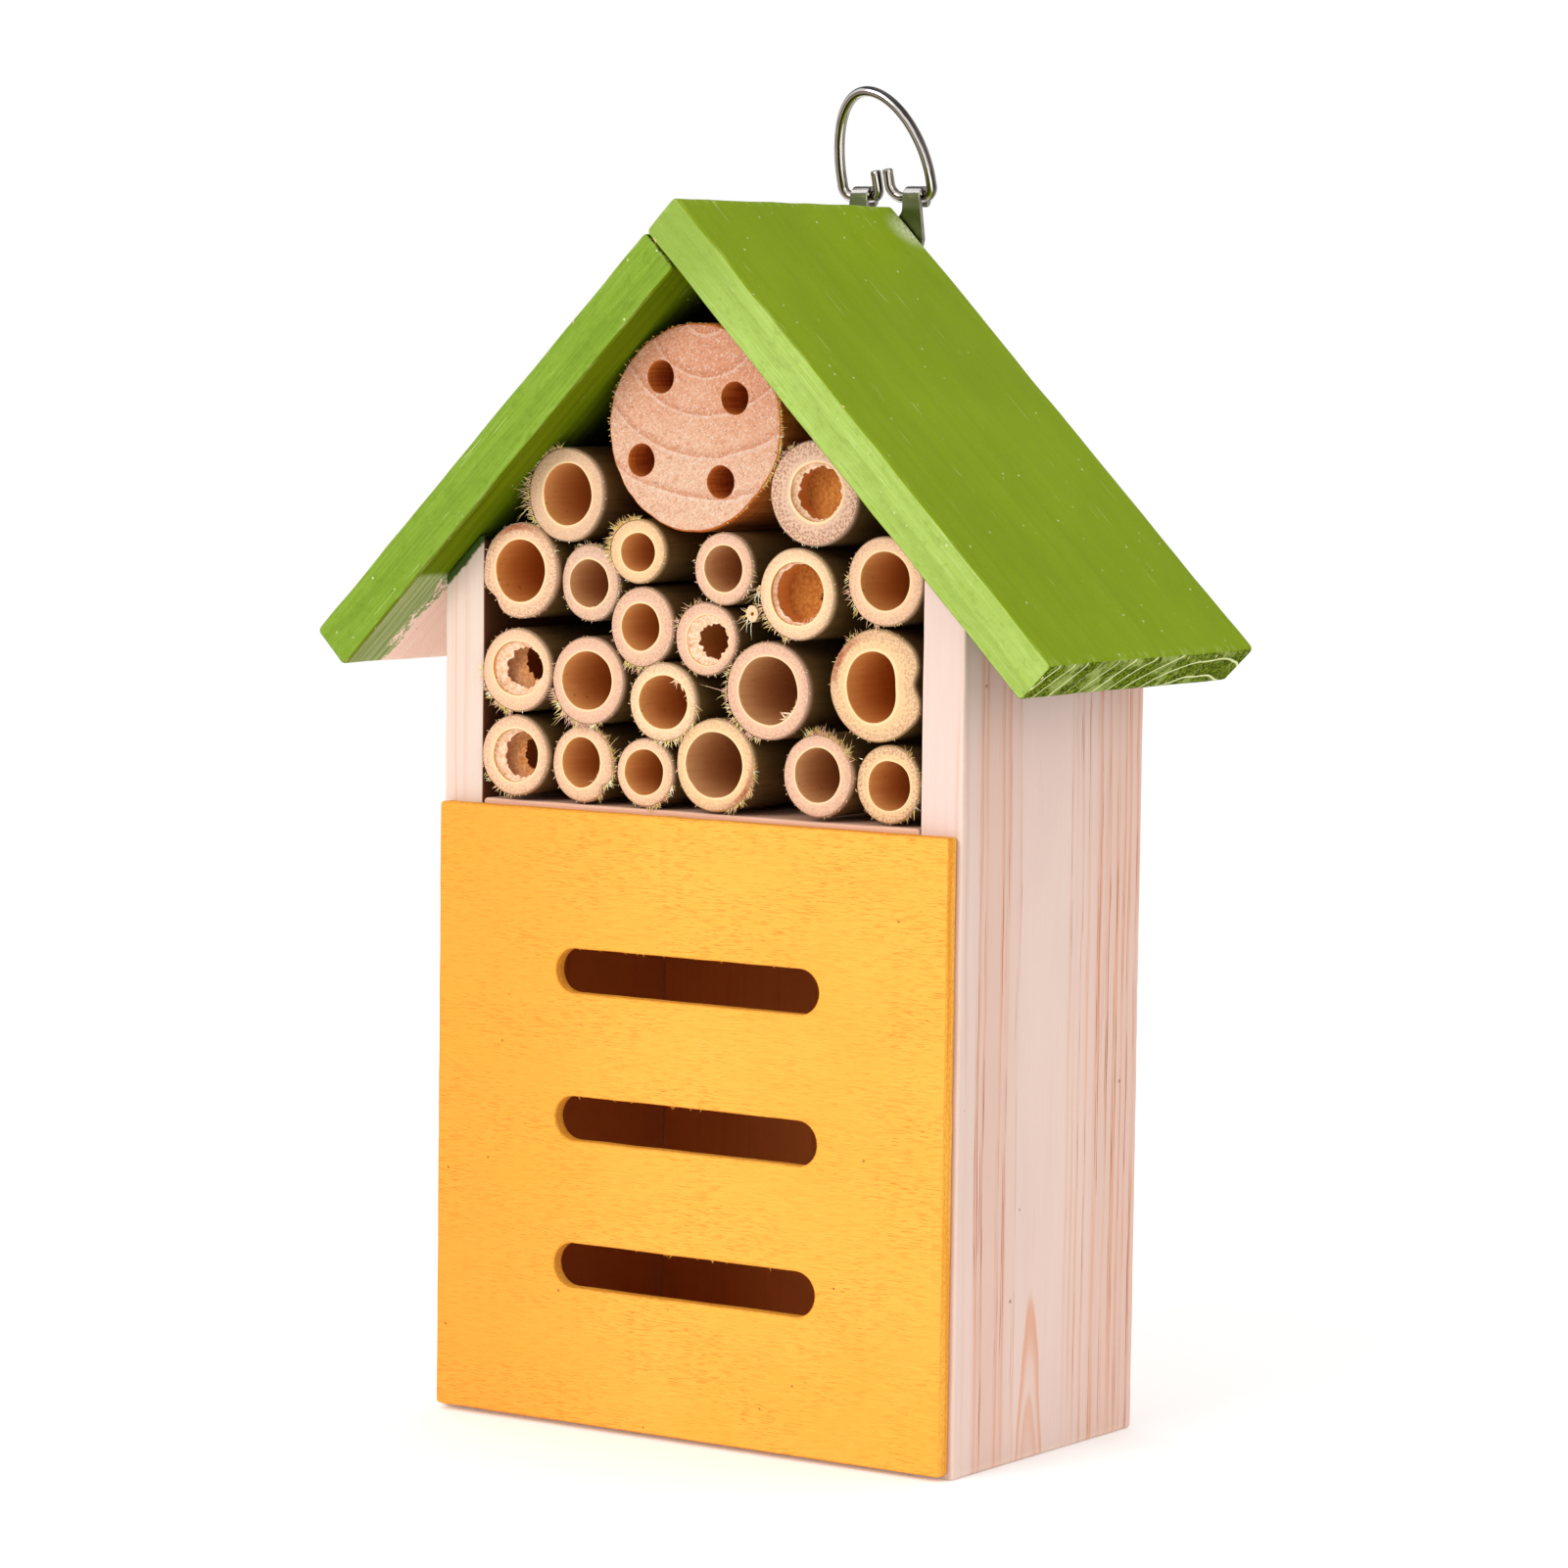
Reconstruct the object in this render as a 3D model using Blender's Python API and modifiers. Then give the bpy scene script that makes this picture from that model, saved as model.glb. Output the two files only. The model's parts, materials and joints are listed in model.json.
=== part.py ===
"""Insect hotel: a small pine house with a pitched roof, filled with bamboo canes and a drilled log.

Metres, +Z up. The origin is the middle of the base. The front faces -Y, and the ridge runs along Y.
"""

import math

import bmesh
import bpy
from mathutils import Vector

MM = 0.001
GAP = 0.3 * MM  # left between solids that touch

# The pine body
BODY_WIDTH = 130 * MM
BODY_DEPTH = 70 * MM
BOARD = 10 * MM
BACK_THICKNESS = 3 * MM
SHELF_TOP = 131 * MM

# The roof
APEX_HEIGHT = 257 * MM
PITCH = math.radians(45)
ROOF_BOARD = 10 * MM
ROOF_OVERHANG = 10 * MM  # in front of the body
RIGHT_BOARD_LENGTH = 129 * MM  # down the slope, from the apex
LEFT_BOARD_LENGTH = 120 * MM  # down the slope, from the right board's underside

# The front panel and its slots
PANEL_THICKNESS = 3 * MM
PANEL_LEFT_MARGIN = 1.5 * MM
PANEL_RIGHT_MARGIN = 1.0 * MM
PANEL_END_MARGIN = 1.0 * MM  # under the shelf's top, and over the ground
SLOT_LENGTH = 66 * MM
SLOT_WIDTH = 9.4 * MM
SLOT_PITCH = 31 * MM
SLOT_COUNT = 3

# The canes, in mm: across from the middle, up from the shelf, outer diameter, bore, stands proud.
CANES = (
    (-33.5, 64.2, 19.0, 12.5, 0.6),
    (28.5, 66.2, 21.0, 12.5, 0.4),
    (-44.8, 48.0, 19.0, 12.5, 1.3),
    (-27.5, 46.0, 14.5, 9.8, 0.2),
    (-14.9, 53.0, 13.5, 8.2, 1.0),
    (-14.0, 37.4, 16.0, 9.4, 0.4),
    (6.5, 50.2, 14.5, 9.4, 0.6),
    (2.0, 35.6, 15.0, 7.8, 0.2),
    (24.8, 45.6, 18.5, 12.5, 0.8),
    (45.4, 49.0, 18.0, 11.6, -0.3),
    (-45.5, 27.1, 17.5, 11.6, 1.3),
    (-27.3, 25.7, 18.0, 12.2, 0.9),
    (-8.0, 22.1, 16.0, 11.4, 1.1),
    (17.7, 25.7, 20.0, 14.2, 0.5),
    (43.4, 27.8, 22.5, 13.4, -0.5),
    (-45.8, 9.2, 17.0, 11.0, 1.2),
    (-29.0, 8.2, 15.5, 9.8, 0.2),
    (-12.8, 7.3, 14.0, 9.6, 0.4),
    (5.2, 9.8, 19.0, 13.6, 1.0),
    (30.3, 9.1, 16.5, 11.0, 0.6),
    (46.6, 8.1, 15.5, 10.0, -0.6),
)
CANE_SIDES = 20
# The stems wedged between them: across, up, diameter, set back.
TWIGS = {"twig_lower": (13.2, 41.2, 3.2, 0.5), "twig_upper": (14.2, 46.0, 1.6, 1.5)}
TWIG_LENGTH = 48 * MM
TWIG_SIDES = 10

# The drilled log, in mm as the canes are, and its holes about its middle
LOG_X, LOG_UP, LOG_DIAMETER = -1.6, 78.8, 43.0
LOG_HOLES = ((-8.5, 10.2), (10.0, 6.2), (-13.2, -7.0), (6.8, -11.0))
LOG_HOLE_DIAMETER = 6.6 * MM
LOG_HOLE_DEPTH = 50 * MM
LOG_SIDES = 40
HOLE_SIDES = 16

# The hanger: a sheet metal plate on the back of the roof, and a wire ring that turns in it
PLATE_X = -1.8 * MM
PLATE_THICKNESS = 1 * MM
PLATE_TOP_WIDTH = 17.8 * MM
PLATE_WIDTH = 20 * MM
PLATE_HEIGHT = 27 * MM  # below the ring's axis
PLATE_END_RADIUS = 7 * MM
TAB_WIDTH = 4.4 * MM
NOTCH_DEPTH = 4.5 * MM
CURL_ANGLE = math.radians(240)
CURL_STEPS = 10
WIRE_DIAMETER = 2.3 * MM
WIRE_CLEARANCE = 0.3 * MM
RIDGE_CLEARANCE = 0.45 * MM  # under the wire when the ring lies on the ridge
RING_X = -2.3 * MM
RING_WIDTH = 22.7 * MM  # between the wire's middles
RING_HEIGHT = 23.2 * MM
RING_WAIST = 4 * MM  # height of the widest place
RING_CORNER = 2.5 * MM
RING_LEAN = math.radians(15)  # forward, at rest
END_CLEARANCE = 0.5 * MM  # between the left end and the left tab
END_SPACING = 0.8 * MM  # between the two ends
END_LEFT_HEIGHT, END_LEFT_BEND = 5.9 * MM, 1.7 * MM
END_RIGHT_HEIGHT, END_RIGHT_BEND = 6.3 * MM, 3.0 * MM

# The screws of the plate
SCREW_SPREAD = 10 * MM
SCREW_DIAMETER = 3 * MM
SCREW_LENGTH = 12 * MM
SCREW_HEAD_DIAMETER = 5.6 * MM
SCREW_HEAD_HEIGHT = 1.7 * MM
SCREW_STEPS = 16

# Worked out from the sizes above
FRONT_Y = -BODY_DEPTH / 2
BACK_Y = BODY_DEPTH / 2
BACK_INSIDE_Y = BACK_Y - BACK_THICKNESS
INNER_HALF = BODY_WIDTH / 2 - BOARD
INNER_APEX = APEX_HEIGHT - ROOF_BOARD / math.cos(PITCH)
WIRE_RADIUS = WIRE_DIAMETER / 2
CURL_RADIUS = WIRE_RADIUS + WIRE_CLEARANCE
PLATE_FRONT_Y = BACK_Y + GAP
PLATE_BACK_Y = PLATE_FRONT_Y + PLATE_THICKNESS
AXIS_Y = PLATE_BACK_Y + CURL_RADIUS
AXIS_Z = APEX_HEIGHT + RIDGE_CLEARANCE + WIRE_RADIUS
TAB_INNER_EDGE = PLATE_TOP_WIDTH / 2 - TAB_WIDTH  # from the plate's middle
END_LEFT_X = PLATE_X - TAB_INNER_EDGE + END_CLEARANCE + WIRE_RADIUS - RING_X
END_RIGHT_X = END_LEFT_X + WIRE_DIAMETER + END_SPACING
SCREW_Z = APEX_HEIGHT - SCREW_SPREAD / 2 * math.tan(PITCH) - ROOF_BOARD / 2 / math.cos(PITCH)
SCREW_HOLE_RADIUS = SCREW_DIAMETER / 2 + GAP


def clear_scene():
    for obj in list(bpy.data.objects):
        bpy.data.objects.remove(obj)


def new_collection(name):
    collection = bpy.data.collections.new(name)
    bpy.context.scene.collection.children.link(collection)
    return collection


def new_material(name, colour, roughness, metallic=0.0):
    material = bpy.data.materials.new(name)
    material.use_nodes = True
    shader = material.node_tree.nodes["Principled BSDF"]
    shader.inputs["Base Color"].default_value = (*colour, 1.0)
    shader.inputs["Roughness"].default_value = roughness
    shader.inputs["Metallic"].default_value = metallic
    return material


def place(name, data, collection, material=None):
    """Makes an object of this mesh or curve, in this collection."""
    obj = bpy.data.objects.new(name, data)
    collection.objects.link(obj)
    if material:
        data.materials.append(material)
    return obj


def arc(centre_x, centre_y, radius, start, end, steps):
    """Points on an arc from one angle to the other, in degrees."""
    angles = (math.radians(start + (end - start) * i / steps) for i in range(steps + 1))
    return [(centre_x + radius * math.cos(a), centre_y + radius * math.sin(a)) for a in angles]


def circle(centre_x, centre_y, radius, sides):
    return arc(centre_x, centre_y, radius, 0, 360 * (1 - 1 / sides), sides - 1)


def flat_curve(name, outlines, thickness):
    """A filled 2D curve of closed outlines, those inside another being holes."""
    curve = bpy.data.curves.new(name, "CURVE")
    curve.dimensions = "2D"
    curve.fill_mode = "BOTH"
    curve.extrude = thickness / 2
    for outline in outlines:
        spline = curve.splines.new("POLY")
        spline.points.add(len(outline) - 1)
        for point, (x, y) in zip(spline.points, outline):
            point.co = (x, y, 0, 1)
        spline.use_cyclic_u = True
    return curve


def upright(name, outlines, front, back, collection, material=None):
    """A piece whose outline lies in X and Z, and which reaches from front to back along Y."""
    obj = place(name, flat_curve(name, outlines, back - front), collection, material)
    obj.rotation_euler.x = math.pi / 2
    obj.location.y = (front + back) / 2
    return obj


def to_mesh(obj):
    """Replaces a curve object by its mesh, with its loose caps welded on."""
    name = obj.name
    bpy.context.view_layer.update()
    graph = bpy.context.evaluated_depsgraph_get()
    mesh = bpy.data.meshes.new_from_object(obj.evaluated_get(graph))
    bm = bmesh.new()
    bm.from_mesh(mesh)
    bmesh.ops.remove_doubles(bm, verts=bm.verts, dist=1e-6)
    bmesh.ops.recalc_face_normals(bm, faces=bm.faces)
    bm.to_mesh(mesh)
    bm.free()
    solid = bpy.data.objects.new(name + "_solid", mesh)
    solid.matrix_world = obj.matrix_world
    for collection in obj.users_collection:
        collection.objects.link(solid)
    bpy.data.objects.remove(obj)
    solid.name = name
    return solid


def smooth(obj):
    obj.data.shade_smooth()
    obj.data.set_sharp_from_angle(angle=math.radians(30))


def cylinder_cutter(name, x, z, radius, front, back, collection):
    """A hidden cylinder along Y."""
    bm = bmesh.new()
    bmesh.ops.create_cone(
        bm, cap_ends=True, segments=HOLE_SIDES, radius1=radius, radius2=radius, depth=back - front
    )
    mesh = bpy.data.meshes.new(name)
    bm.to_mesh(mesh)
    bm.free()
    obj = place(name, mesh, collection)
    obj.rotation_euler.x = math.pi / 2
    obj.location = (x, (front + back) / 2, z)
    obj.hide_render = True
    obj.display_type = "WIRE"
    return obj


def cut(obj, cutter):
    modifier = obj.modifiers.new(cutter.name, "BOOLEAN")
    modifier.operation = "DIFFERENCE"
    modifier.solver = "EXACT"
    modifier.object = cutter


def box(name, low, high, collection, material):
    """A plain board between two corners."""
    bm = bmesh.new()
    bmesh.ops.create_cube(bm, size=1)
    size = Vector(high) - Vector(low)
    bmesh.ops.scale(bm, vec=size, verts=bm.verts)
    mesh = bpy.data.meshes.new(name)
    bm.to_mesh(mesh)
    bm.free()
    obj = place(name, mesh, collection, material)
    obj.location = (Vector(low) + Vector(high)) / 2
    return obj


def under_roof(x):
    """Height of what fits under the roof boards at this distance from the middle."""
    return INNER_APEX - abs(x) * math.tan(PITCH) - GAP / math.cos(PITCH)


def side_panel(side, collection, material):
    """One side board: side is -1 for the left and 1 for the right."""
    name = "side_panel_right" if side > 0 else "side_panel_left"
    inner, outer = side * INNER_HALF, side * BODY_WIDTH / 2
    outline = [(inner, 0), (outer, 0), (outer, under_roof(outer)), (inner, under_roof(inner))]
    return upright(name, [outline], FRONT_Y, BACK_Y, collection, material)


def level_board(name, top, collection, material):
    """A board between the side panels, in front of the back panel."""
    low = (-INNER_HALF + GAP, FRONT_Y, top - BOARD)
    high = (INNER_HALF - GAP, BACK_INSIDE_Y - GAP, top)
    return box(name, low, high, collection, material)


def back_panel(collection, material):
    """Closes both chambers, and fills the gable up to the roof boards."""
    half = INNER_HALF - GAP
    outline = [(-half, 0), (half, 0), (half, under_roof(half)), (0, under_roof(0)), (-half, under_roof(half))]
    return upright("back_panel", [outline], BACK_INSIDE_Y, BACK_Y, collection, material)


def slot_outline(centre_x, centre_z):
    """A slot with round ends."""
    radius = SLOT_WIDTH / 2
    reach = SLOT_LENGTH / 2 - radius
    right = arc(centre_x + reach, centre_z, radius, -90, 90, 10)
    left = arc(centre_x - reach, centre_z, radius, 90, 270, 10)
    return right + left


def front_panel(collection, material):
    left = -BODY_WIDTH / 2 + PANEL_LEFT_MARGIN
    right = BODY_WIDTH / 2 - PANEL_RIGHT_MARGIN
    bottom, top = PANEL_END_MARGIN, SHELF_TOP - PANEL_END_MARGIN
    middle_x, middle_z = (left + right) / 2, (bottom + top) / 2
    outlines = [[(left, bottom), (right, bottom), (right, top), (left, top)]]
    for i in range(SLOT_COUNT):
        outlines.append(slot_outline(middle_x, middle_z + (i - (SLOT_COUNT - 1) / 2) * SLOT_PITCH))
    front = FRONT_Y - GAP - PANEL_THICKNESS
    return upright("front_panel", outlines, front, FRONT_Y - GAP, collection, material)


def slope_point(side, along, depth):
    """The point this far down a slope from the apex, and this deep square to its face."""
    x = along * math.cos(PITCH) - depth * math.sin(PITCH)
    return side * x, APEX_HEIGHT - along * math.sin(PITCH) - depth * math.cos(PITCH)


def roof_boards(collection, material):
    """The right board reaches the apex, and the left one butts against its underside."""
    front, back = FRONT_Y - ROOF_OVERHANG, BACK_Y
    tan, sin = math.tan(2 * PITCH), math.sin(2 * PITCH)
    right_end = -ROOF_BOARD / tan
    right = [
        slope_point(1, 0, 0),
        slope_point(1, RIGHT_BOARD_LENGTH, 0),
        slope_point(1, RIGHT_BOARD_LENGTH, ROOF_BOARD),
        slope_point(1, right_end, ROOF_BOARD),
    ]
    joint = ROOF_BOARD + GAP
    top_start, under_start = joint / sin, joint / sin - ROOF_BOARD / tan
    left_end = ROOF_BOARD / sin + LEFT_BOARD_LENGTH
    left = [
        slope_point(-1, top_start, 0),
        slope_point(-1, left_end, 0),
        slope_point(-1, left_end, ROOF_BOARD),
        slope_point(-1, under_start, ROOF_BOARD),
    ]
    boards = {"roof_board_right": right, "roof_board_left": left}
    return {
        name: to_mesh(upright(name, [outline], front, back, collection, material))
        for name, outline in boards.items()
    }


def fill_scale():
    """How far the stack of canes is stretched or shrunk to fill the space over the shelf."""
    half_width = INNER_HALF - GAP
    slope_reach = (INNER_APEX - SHELF_TOP - GAP) * math.cos(PITCH) - GAP
    rounds = [(x, up, diameter) for x, up, diameter, _, _ in CANES]
    rounds.append((LOG_X, LOG_UP, LOG_DIAMETER))
    ratios = []
    for x, up, diameter in rounds:
        to_wall = abs(x) + diameter / 2
        to_roof = abs(x) * math.sin(PITCH) + up * math.cos(PITCH) + diameter / 2
        ratios += [half_width / (to_wall * MM), slope_reach / (to_roof * MM)]
    return min(ratios)


def in_stack(x, up, scale):
    """A place in the stack: across from the middle, and up from the shelf."""
    return x * MM * scale, SHELF_TOP + GAP + up * MM * scale


def cane(number, values, scale, collection, material):
    across, up, diameter, bore, proud = values
    x, z = in_stack(across, up, scale)
    rings = [circle(x, z, d / 2 * MM * scale, CANE_SIDES) for d in (diameter, bore)]
    front, back = FRONT_Y - proud * MM, BACK_INSIDE_Y - GAP
    return upright(f"cane_{number:02d}", rings, front, back, collection, material)


def twig(name, values, scale, collection, material):
    across, up, diameter, set_back = values
    x, z = in_stack(across, up, scale)
    ring = circle(x, z, diameter / 2 * MM * scale, TWIG_SIDES)
    front = FRONT_Y + set_back * MM
    return upright(name, [ring], front, front + TWIG_LENGTH, collection, material)


def drilled_log(scale, collection, cutters, material):
    """A slice of branch with blind holes from the front."""
    x, z = in_stack(LOG_X, LOG_UP, scale)
    outline = circle(x, z, LOG_DIAMETER / 2 * MM * scale, LOG_SIDES)
    log = upright("drilled_log", [outline], FRONT_Y, BACK_INSIDE_Y - GAP, collection, material)
    log = to_mesh(log)
    for i, (across, up) in enumerate(LOG_HOLES):
        hole_x, hole_z = x + across * MM * scale, z + up * MM * scale
        radius = LOG_HOLE_DIAMETER / 2 * scale
        end = FRONT_Y + LOG_HOLE_DEPTH
        name = f"log_hole_{i + 1}"
        cut(log, cylinder_cutter(name, hole_x, hole_z, radius, FRONT_Y - BOARD, end, cutters))
    smooth(log)


def plate_outline():
    """The flat of the hanger plate, about the ring's axis, from the left tab's top round to the right tab's."""
    top, half = PLATE_TOP_WIDTH / 2, PLATE_WIDTH / 2
    inner = TAB_INNER_EDGE
    radius = PLATE_END_RADIUS
    left = [(-top, 0), (-half, -PLATE_HEIGHT / 3)]
    bottom = arc(0, radius - PLATE_HEIGHT, radius, 190, 350, 12)
    right = [(half, -PLATE_HEIGHT / 3), (top, 0), (inner, 0)]
    corner = min(inner, NOTCH_DEPTH) / 2
    notch = arc(inner - corner, corner - NOTCH_DEPTH, corner, 0, -90, 4)
    notch += arc(corner - inner, corner - NOTCH_DEPTH, corner, -90, -180, 4)
    return left + bottom + right + notch + [(-inner, 0)]


def hanger_plate(collection, cutters, material):
    """One sheet: its flat is a face, and each tab's top edge is spun round the wire."""
    bm = bmesh.new()
    outline = plate_outline()
    verts = [bm.verts.new((PLATE_X + x, 0, z)) for x, z in outline]
    bm.faces.new(verts)
    tops = [edge for edge in bm.edges if all(abs(v.co.z) < 1e-7 for v in edge.verts)]
    axis_from_sheet = Vector((0, CURL_RADIUS + PLATE_THICKNESS / 2, 0))
    for edge in tops:
        bmesh.ops.spin(
            bm,
            geom=[edge, *edge.verts],
            axis=(-1, 0, 0),
            cent=axis_from_sheet,
            angle=CURL_ANGLE,
            steps=CURL_STEPS,
            use_merge=False,
        )
    bmesh.ops.remove_doubles(bm, verts=bm.verts, dist=1e-6)
    bmesh.ops.recalc_face_normals(bm, faces=bm.faces)
    mesh = bpy.data.meshes.new("hanger_plate")
    bm.to_mesh(mesh)
    bm.free()
    plate = place("hanger_plate", mesh, collection, material)
    plate.location = (0, PLATE_FRONT_Y + PLATE_THICKNESS / 2, AXIS_Z)
    sheet = plate.modifiers.new("sheet", "SOLIDIFY")
    sheet.thickness = PLATE_THICKNESS
    sheet.offset = 0
    for side in (-1, 1):
        x = PLATE_X + side * SCREW_SPREAD / 2
        name = f"plate_hole_{side}"
        front, back = PLATE_FRONT_Y - BOARD, PLATE_BACK_Y + BOARD
        cut(plate, cylinder_cutter(name, x, SCREW_Z, SCREW_HOLE_RADIUS, front, back, cutters))


def ring_half(side):
    """The ring's wire from the middle of its bottom to its apex: side is -1 for the left."""
    half, corner = RING_WIDTH / 2, RING_CORNER
    if side < 0:
        end_x, end_height, bend = -END_LEFT_X, END_LEFT_HEIGHT, END_LEFT_BEND
    else:
        end_x, end_height, bend = END_RIGHT_X, END_RIGHT_HEIGHT, END_RIGHT_BEND
    points = [(end_x, end_height), (end_x, (end_height + bend) / 2)]
    points += arc(end_x + bend, bend, bend, 180, 270, 5)
    points += arc(half - corner, corner, corner, -90, 0, 5)
    arch = RING_HEIGHT - RING_WAIST
    for i in range(1, 11):
        angle = math.radians(90) * i / 10
        points.append((half * math.cos(angle) ** 0.95, RING_WAIST + arch * math.sin(angle) ** 1.05))
    return [(side * x, z) for x, z in points]


def hanger_ring(collection, material):
    """A bent wire. Its origin is on its axis, and it leans forward over the ridge."""
    curve = bpy.data.curves.new("hanger_ring", "CURVE")
    curve.dimensions = "3D"
    curve.bevel_depth = WIRE_RADIUS
    curve.bevel_resolution = 4
    curve.use_fill_caps = True
    route = ring_half(1) + ring_half(-1)[-2::-1]
    spline = curve.splines.new("POLY")
    spline.points.add(len(route) - 1)
    for point, (x, z) in zip(spline.points, route):
        point.co = (x, 0, z, 1)
    ring = place("hanger_ring", curve, collection, material)
    ring.location = (RING_X, AXIS_Y, AXIS_Z)
    ring.rotation_euler.x = RING_LEAN


def screw_mesh():
    """A turned screw along +Z, its tip at the top, its head below the origin."""
    shank, head = SCREW_DIAMETER / 2, SCREW_HEAD_DIAMETER / 2
    tip = SCREW_DIAMETER
    dome = [(x, -z) for x, z in arc(0, 0, 1, 90, 0, 5)]
    profile = [(0, SCREW_LENGTH), (shank, SCREW_LENGTH - tip), (shank, 0), (head, 0)]
    profile += [(head * x, SCREW_HEAD_HEIGHT * z) for x, z in reversed(dome[:-1])]
    bm = bmesh.new()
    verts = [bm.verts.new((x if x > 1e-7 else 0, 0, z)) for x, z in profile]
    for first, second in zip(verts, verts[1:]):
        bm.edges.new((first, second))
    mesh = bpy.data.meshes.new("hanger_screw")
    bm.to_mesh(mesh)
    bm.free()
    return mesh


def hanger_screws(boards, collection, cutters, material):
    """Two screws through the plate, into the back ends of the roof boards."""
    mesh = screw_mesh()
    mesh.materials.append(material)
    for side, word in ((-1, "left"), (1, "right")):
        x = PLATE_X + side * SCREW_SPREAD / 2
        screw = place(f"hanger_screw_{word}", mesh, collection)
        screw.location = (x, PLATE_BACK_Y + GAP, SCREW_Z)
        screw.rotation_euler.x = math.pi / 2
        turn = screw.modifiers.new("turn", "SCREW")
        turn.steps = turn.render_steps = SCREW_STEPS
        turn.use_merge_vertices = True
        turn.merge_threshold = 1e-6
        turn.use_normal_calculate = False
        end = PLATE_BACK_Y - SCREW_LENGTH - GAP
        cutter = cylinder_cutter(
            f"screw_hole_{word}", x, SCREW_Z, SCREW_HOLE_RADIUS, end, BACK_Y + BOARD, cutters
        )
        cut(boards[f"roof_board_{word}"], cutter)


def build():
    clear_scene()
    parts = new_collection("insect_hotel")
    cutters = new_collection("cutters")
    pine = new_material("pine", (0.80, 0.60, 0.47), 0.6)
    yellow = new_material("yellow_panel", (0.95, 0.47, 0.08), 0.6)
    green = new_material("green_paint", (0.22, 0.38, 0.03), 0.4)
    bamboo = new_material("bamboo", (0.78, 0.58, 0.38), 0.65)
    log_wood = new_material("log_wood", (0.80, 0.48, 0.32), 0.8)
    steel = new_material("nickel_steel", (0.62, 0.60, 0.56), 0.25, 1.0)

    for side in (-1, 1):
        side_panel(side, parts, pine)
    level_board("bottom_board", BOARD, parts, pine)
    level_board("shelf_board", SHELF_TOP, parts, pine)
    back_panel(parts, pine)
    front_panel(parts, yellow)
    boards = roof_boards(parts, green)

    scale = fill_scale()
    drilled_log(scale, parts, cutters, log_wood)
    for number, values in enumerate(CANES, 1):
        cane(number, values, scale, parts, bamboo)
    for name, values in TWIGS.items():
        twig(name, values, scale, parts, bamboo)

    hanger_plate(parts, cutters, steel)
    hanger_ring(parts, steel)
    hanger_screws(boards, parts, cutters, steel)
    bpy.context.view_layer.update()


build()
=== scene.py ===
"""The looks of the insect hotel: hand-cut bamboo, sawn pine, green paint, a stained panel and a steel hanger.

Metres, +Z up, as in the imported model. The front faces -Y. Names ending in _mm hold millimetres.
"""

import json
import math
import random

import bmesh
import bpy
import numpy as np
from mathutils import Matrix, Vector, noise
from mathutils.geometry import delaunay_2d_cdt


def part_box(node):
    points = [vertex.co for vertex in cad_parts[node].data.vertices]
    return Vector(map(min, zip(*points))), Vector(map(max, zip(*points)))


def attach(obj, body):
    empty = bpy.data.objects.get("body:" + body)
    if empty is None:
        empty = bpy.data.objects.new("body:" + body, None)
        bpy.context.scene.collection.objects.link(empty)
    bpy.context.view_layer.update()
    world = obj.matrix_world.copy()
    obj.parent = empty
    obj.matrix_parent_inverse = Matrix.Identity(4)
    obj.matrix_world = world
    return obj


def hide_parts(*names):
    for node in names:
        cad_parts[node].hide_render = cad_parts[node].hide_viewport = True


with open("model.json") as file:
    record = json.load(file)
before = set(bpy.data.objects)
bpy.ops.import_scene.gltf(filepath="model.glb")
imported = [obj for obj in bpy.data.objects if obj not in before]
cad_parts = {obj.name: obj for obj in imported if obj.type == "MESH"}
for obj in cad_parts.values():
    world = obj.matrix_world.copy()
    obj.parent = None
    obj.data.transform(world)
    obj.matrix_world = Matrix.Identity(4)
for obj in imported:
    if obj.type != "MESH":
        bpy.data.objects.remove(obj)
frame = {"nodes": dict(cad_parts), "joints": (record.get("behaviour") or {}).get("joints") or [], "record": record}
noise.seed_set(1)  # noise_vector otherwise starts from the clock
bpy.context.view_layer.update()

MM = 0.001
TURN = 2 * math.pi
INSIDE = 1  # delaunay_2d_cdt keeps the triangles within its outlines
SLOPE = math.pi / 4  # of the roof
SHELF_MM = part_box("shelf_board")[0].z / MM
RIDGE_MM = -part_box("roof_board_right")[1].z / MM * math.cos(SLOPE)  # measured down a slope


# ---------------------------------------------------------------- shapes


class Solid:
    """The points, faces and painted values of one piece, which may hold several closed shells."""

    def __init__(self):
        self.points = []
        self.faces = []
        self.slots = []
        self.edge = []

    def add(self, points, edge=0.0):
        first = len(self.points)
        self.points += [tuple(p) for p in points]
        self.edge += list(edge) if hasattr(edge, "__len__") else [edge] * len(points)
        return list(range(first, len(self.points)))

    def face(self, corners, slot=0):
        self.faces.append(tuple(corners))
        self.slots.append(slot)

    def strip(self, first, second, slot=0):
        """Joins two closed rings with as many points each."""
        for i in range(len(first)):
            j = (i + 1) % len(first)
            self.face((first[i], first[j], second[j], second[i]), slot)

    def mesh(self, name, materials, values=(), sharp=40):
        """values: (attribute name, "FLOAT" or "FLOAT_COLOR", numbers for each point)."""
        mesh = bpy.data.meshes.new(name)
        mesh.from_pydata(self.points, [], self.faces)
        for material in materials:
            mesh.materials.append(material)
        mesh.polygons.foreach_set("material_index", self.slots)
        for key, kind, numbers in [("edge", "FLOAT", self.edge), *values]:
            field = "color" if kind == "FLOAT_COLOR" else "value"
            layer = mesh.attributes.new(key, kind, "POINT")
            layer.data.foreach_set(field, np.asarray(numbers, np.float32).ravel())
        bm = bmesh.new()
        bm.from_mesh(mesh)
        bmesh.ops.recalc_face_normals(bm, faces=bm.faces)
        bm.to_mesh(mesh)
        bm.free()
        mesh.shade_smooth()
        mesh.set_sharp_from_angle(angle=math.radians(sharp))
        return mesh


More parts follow.
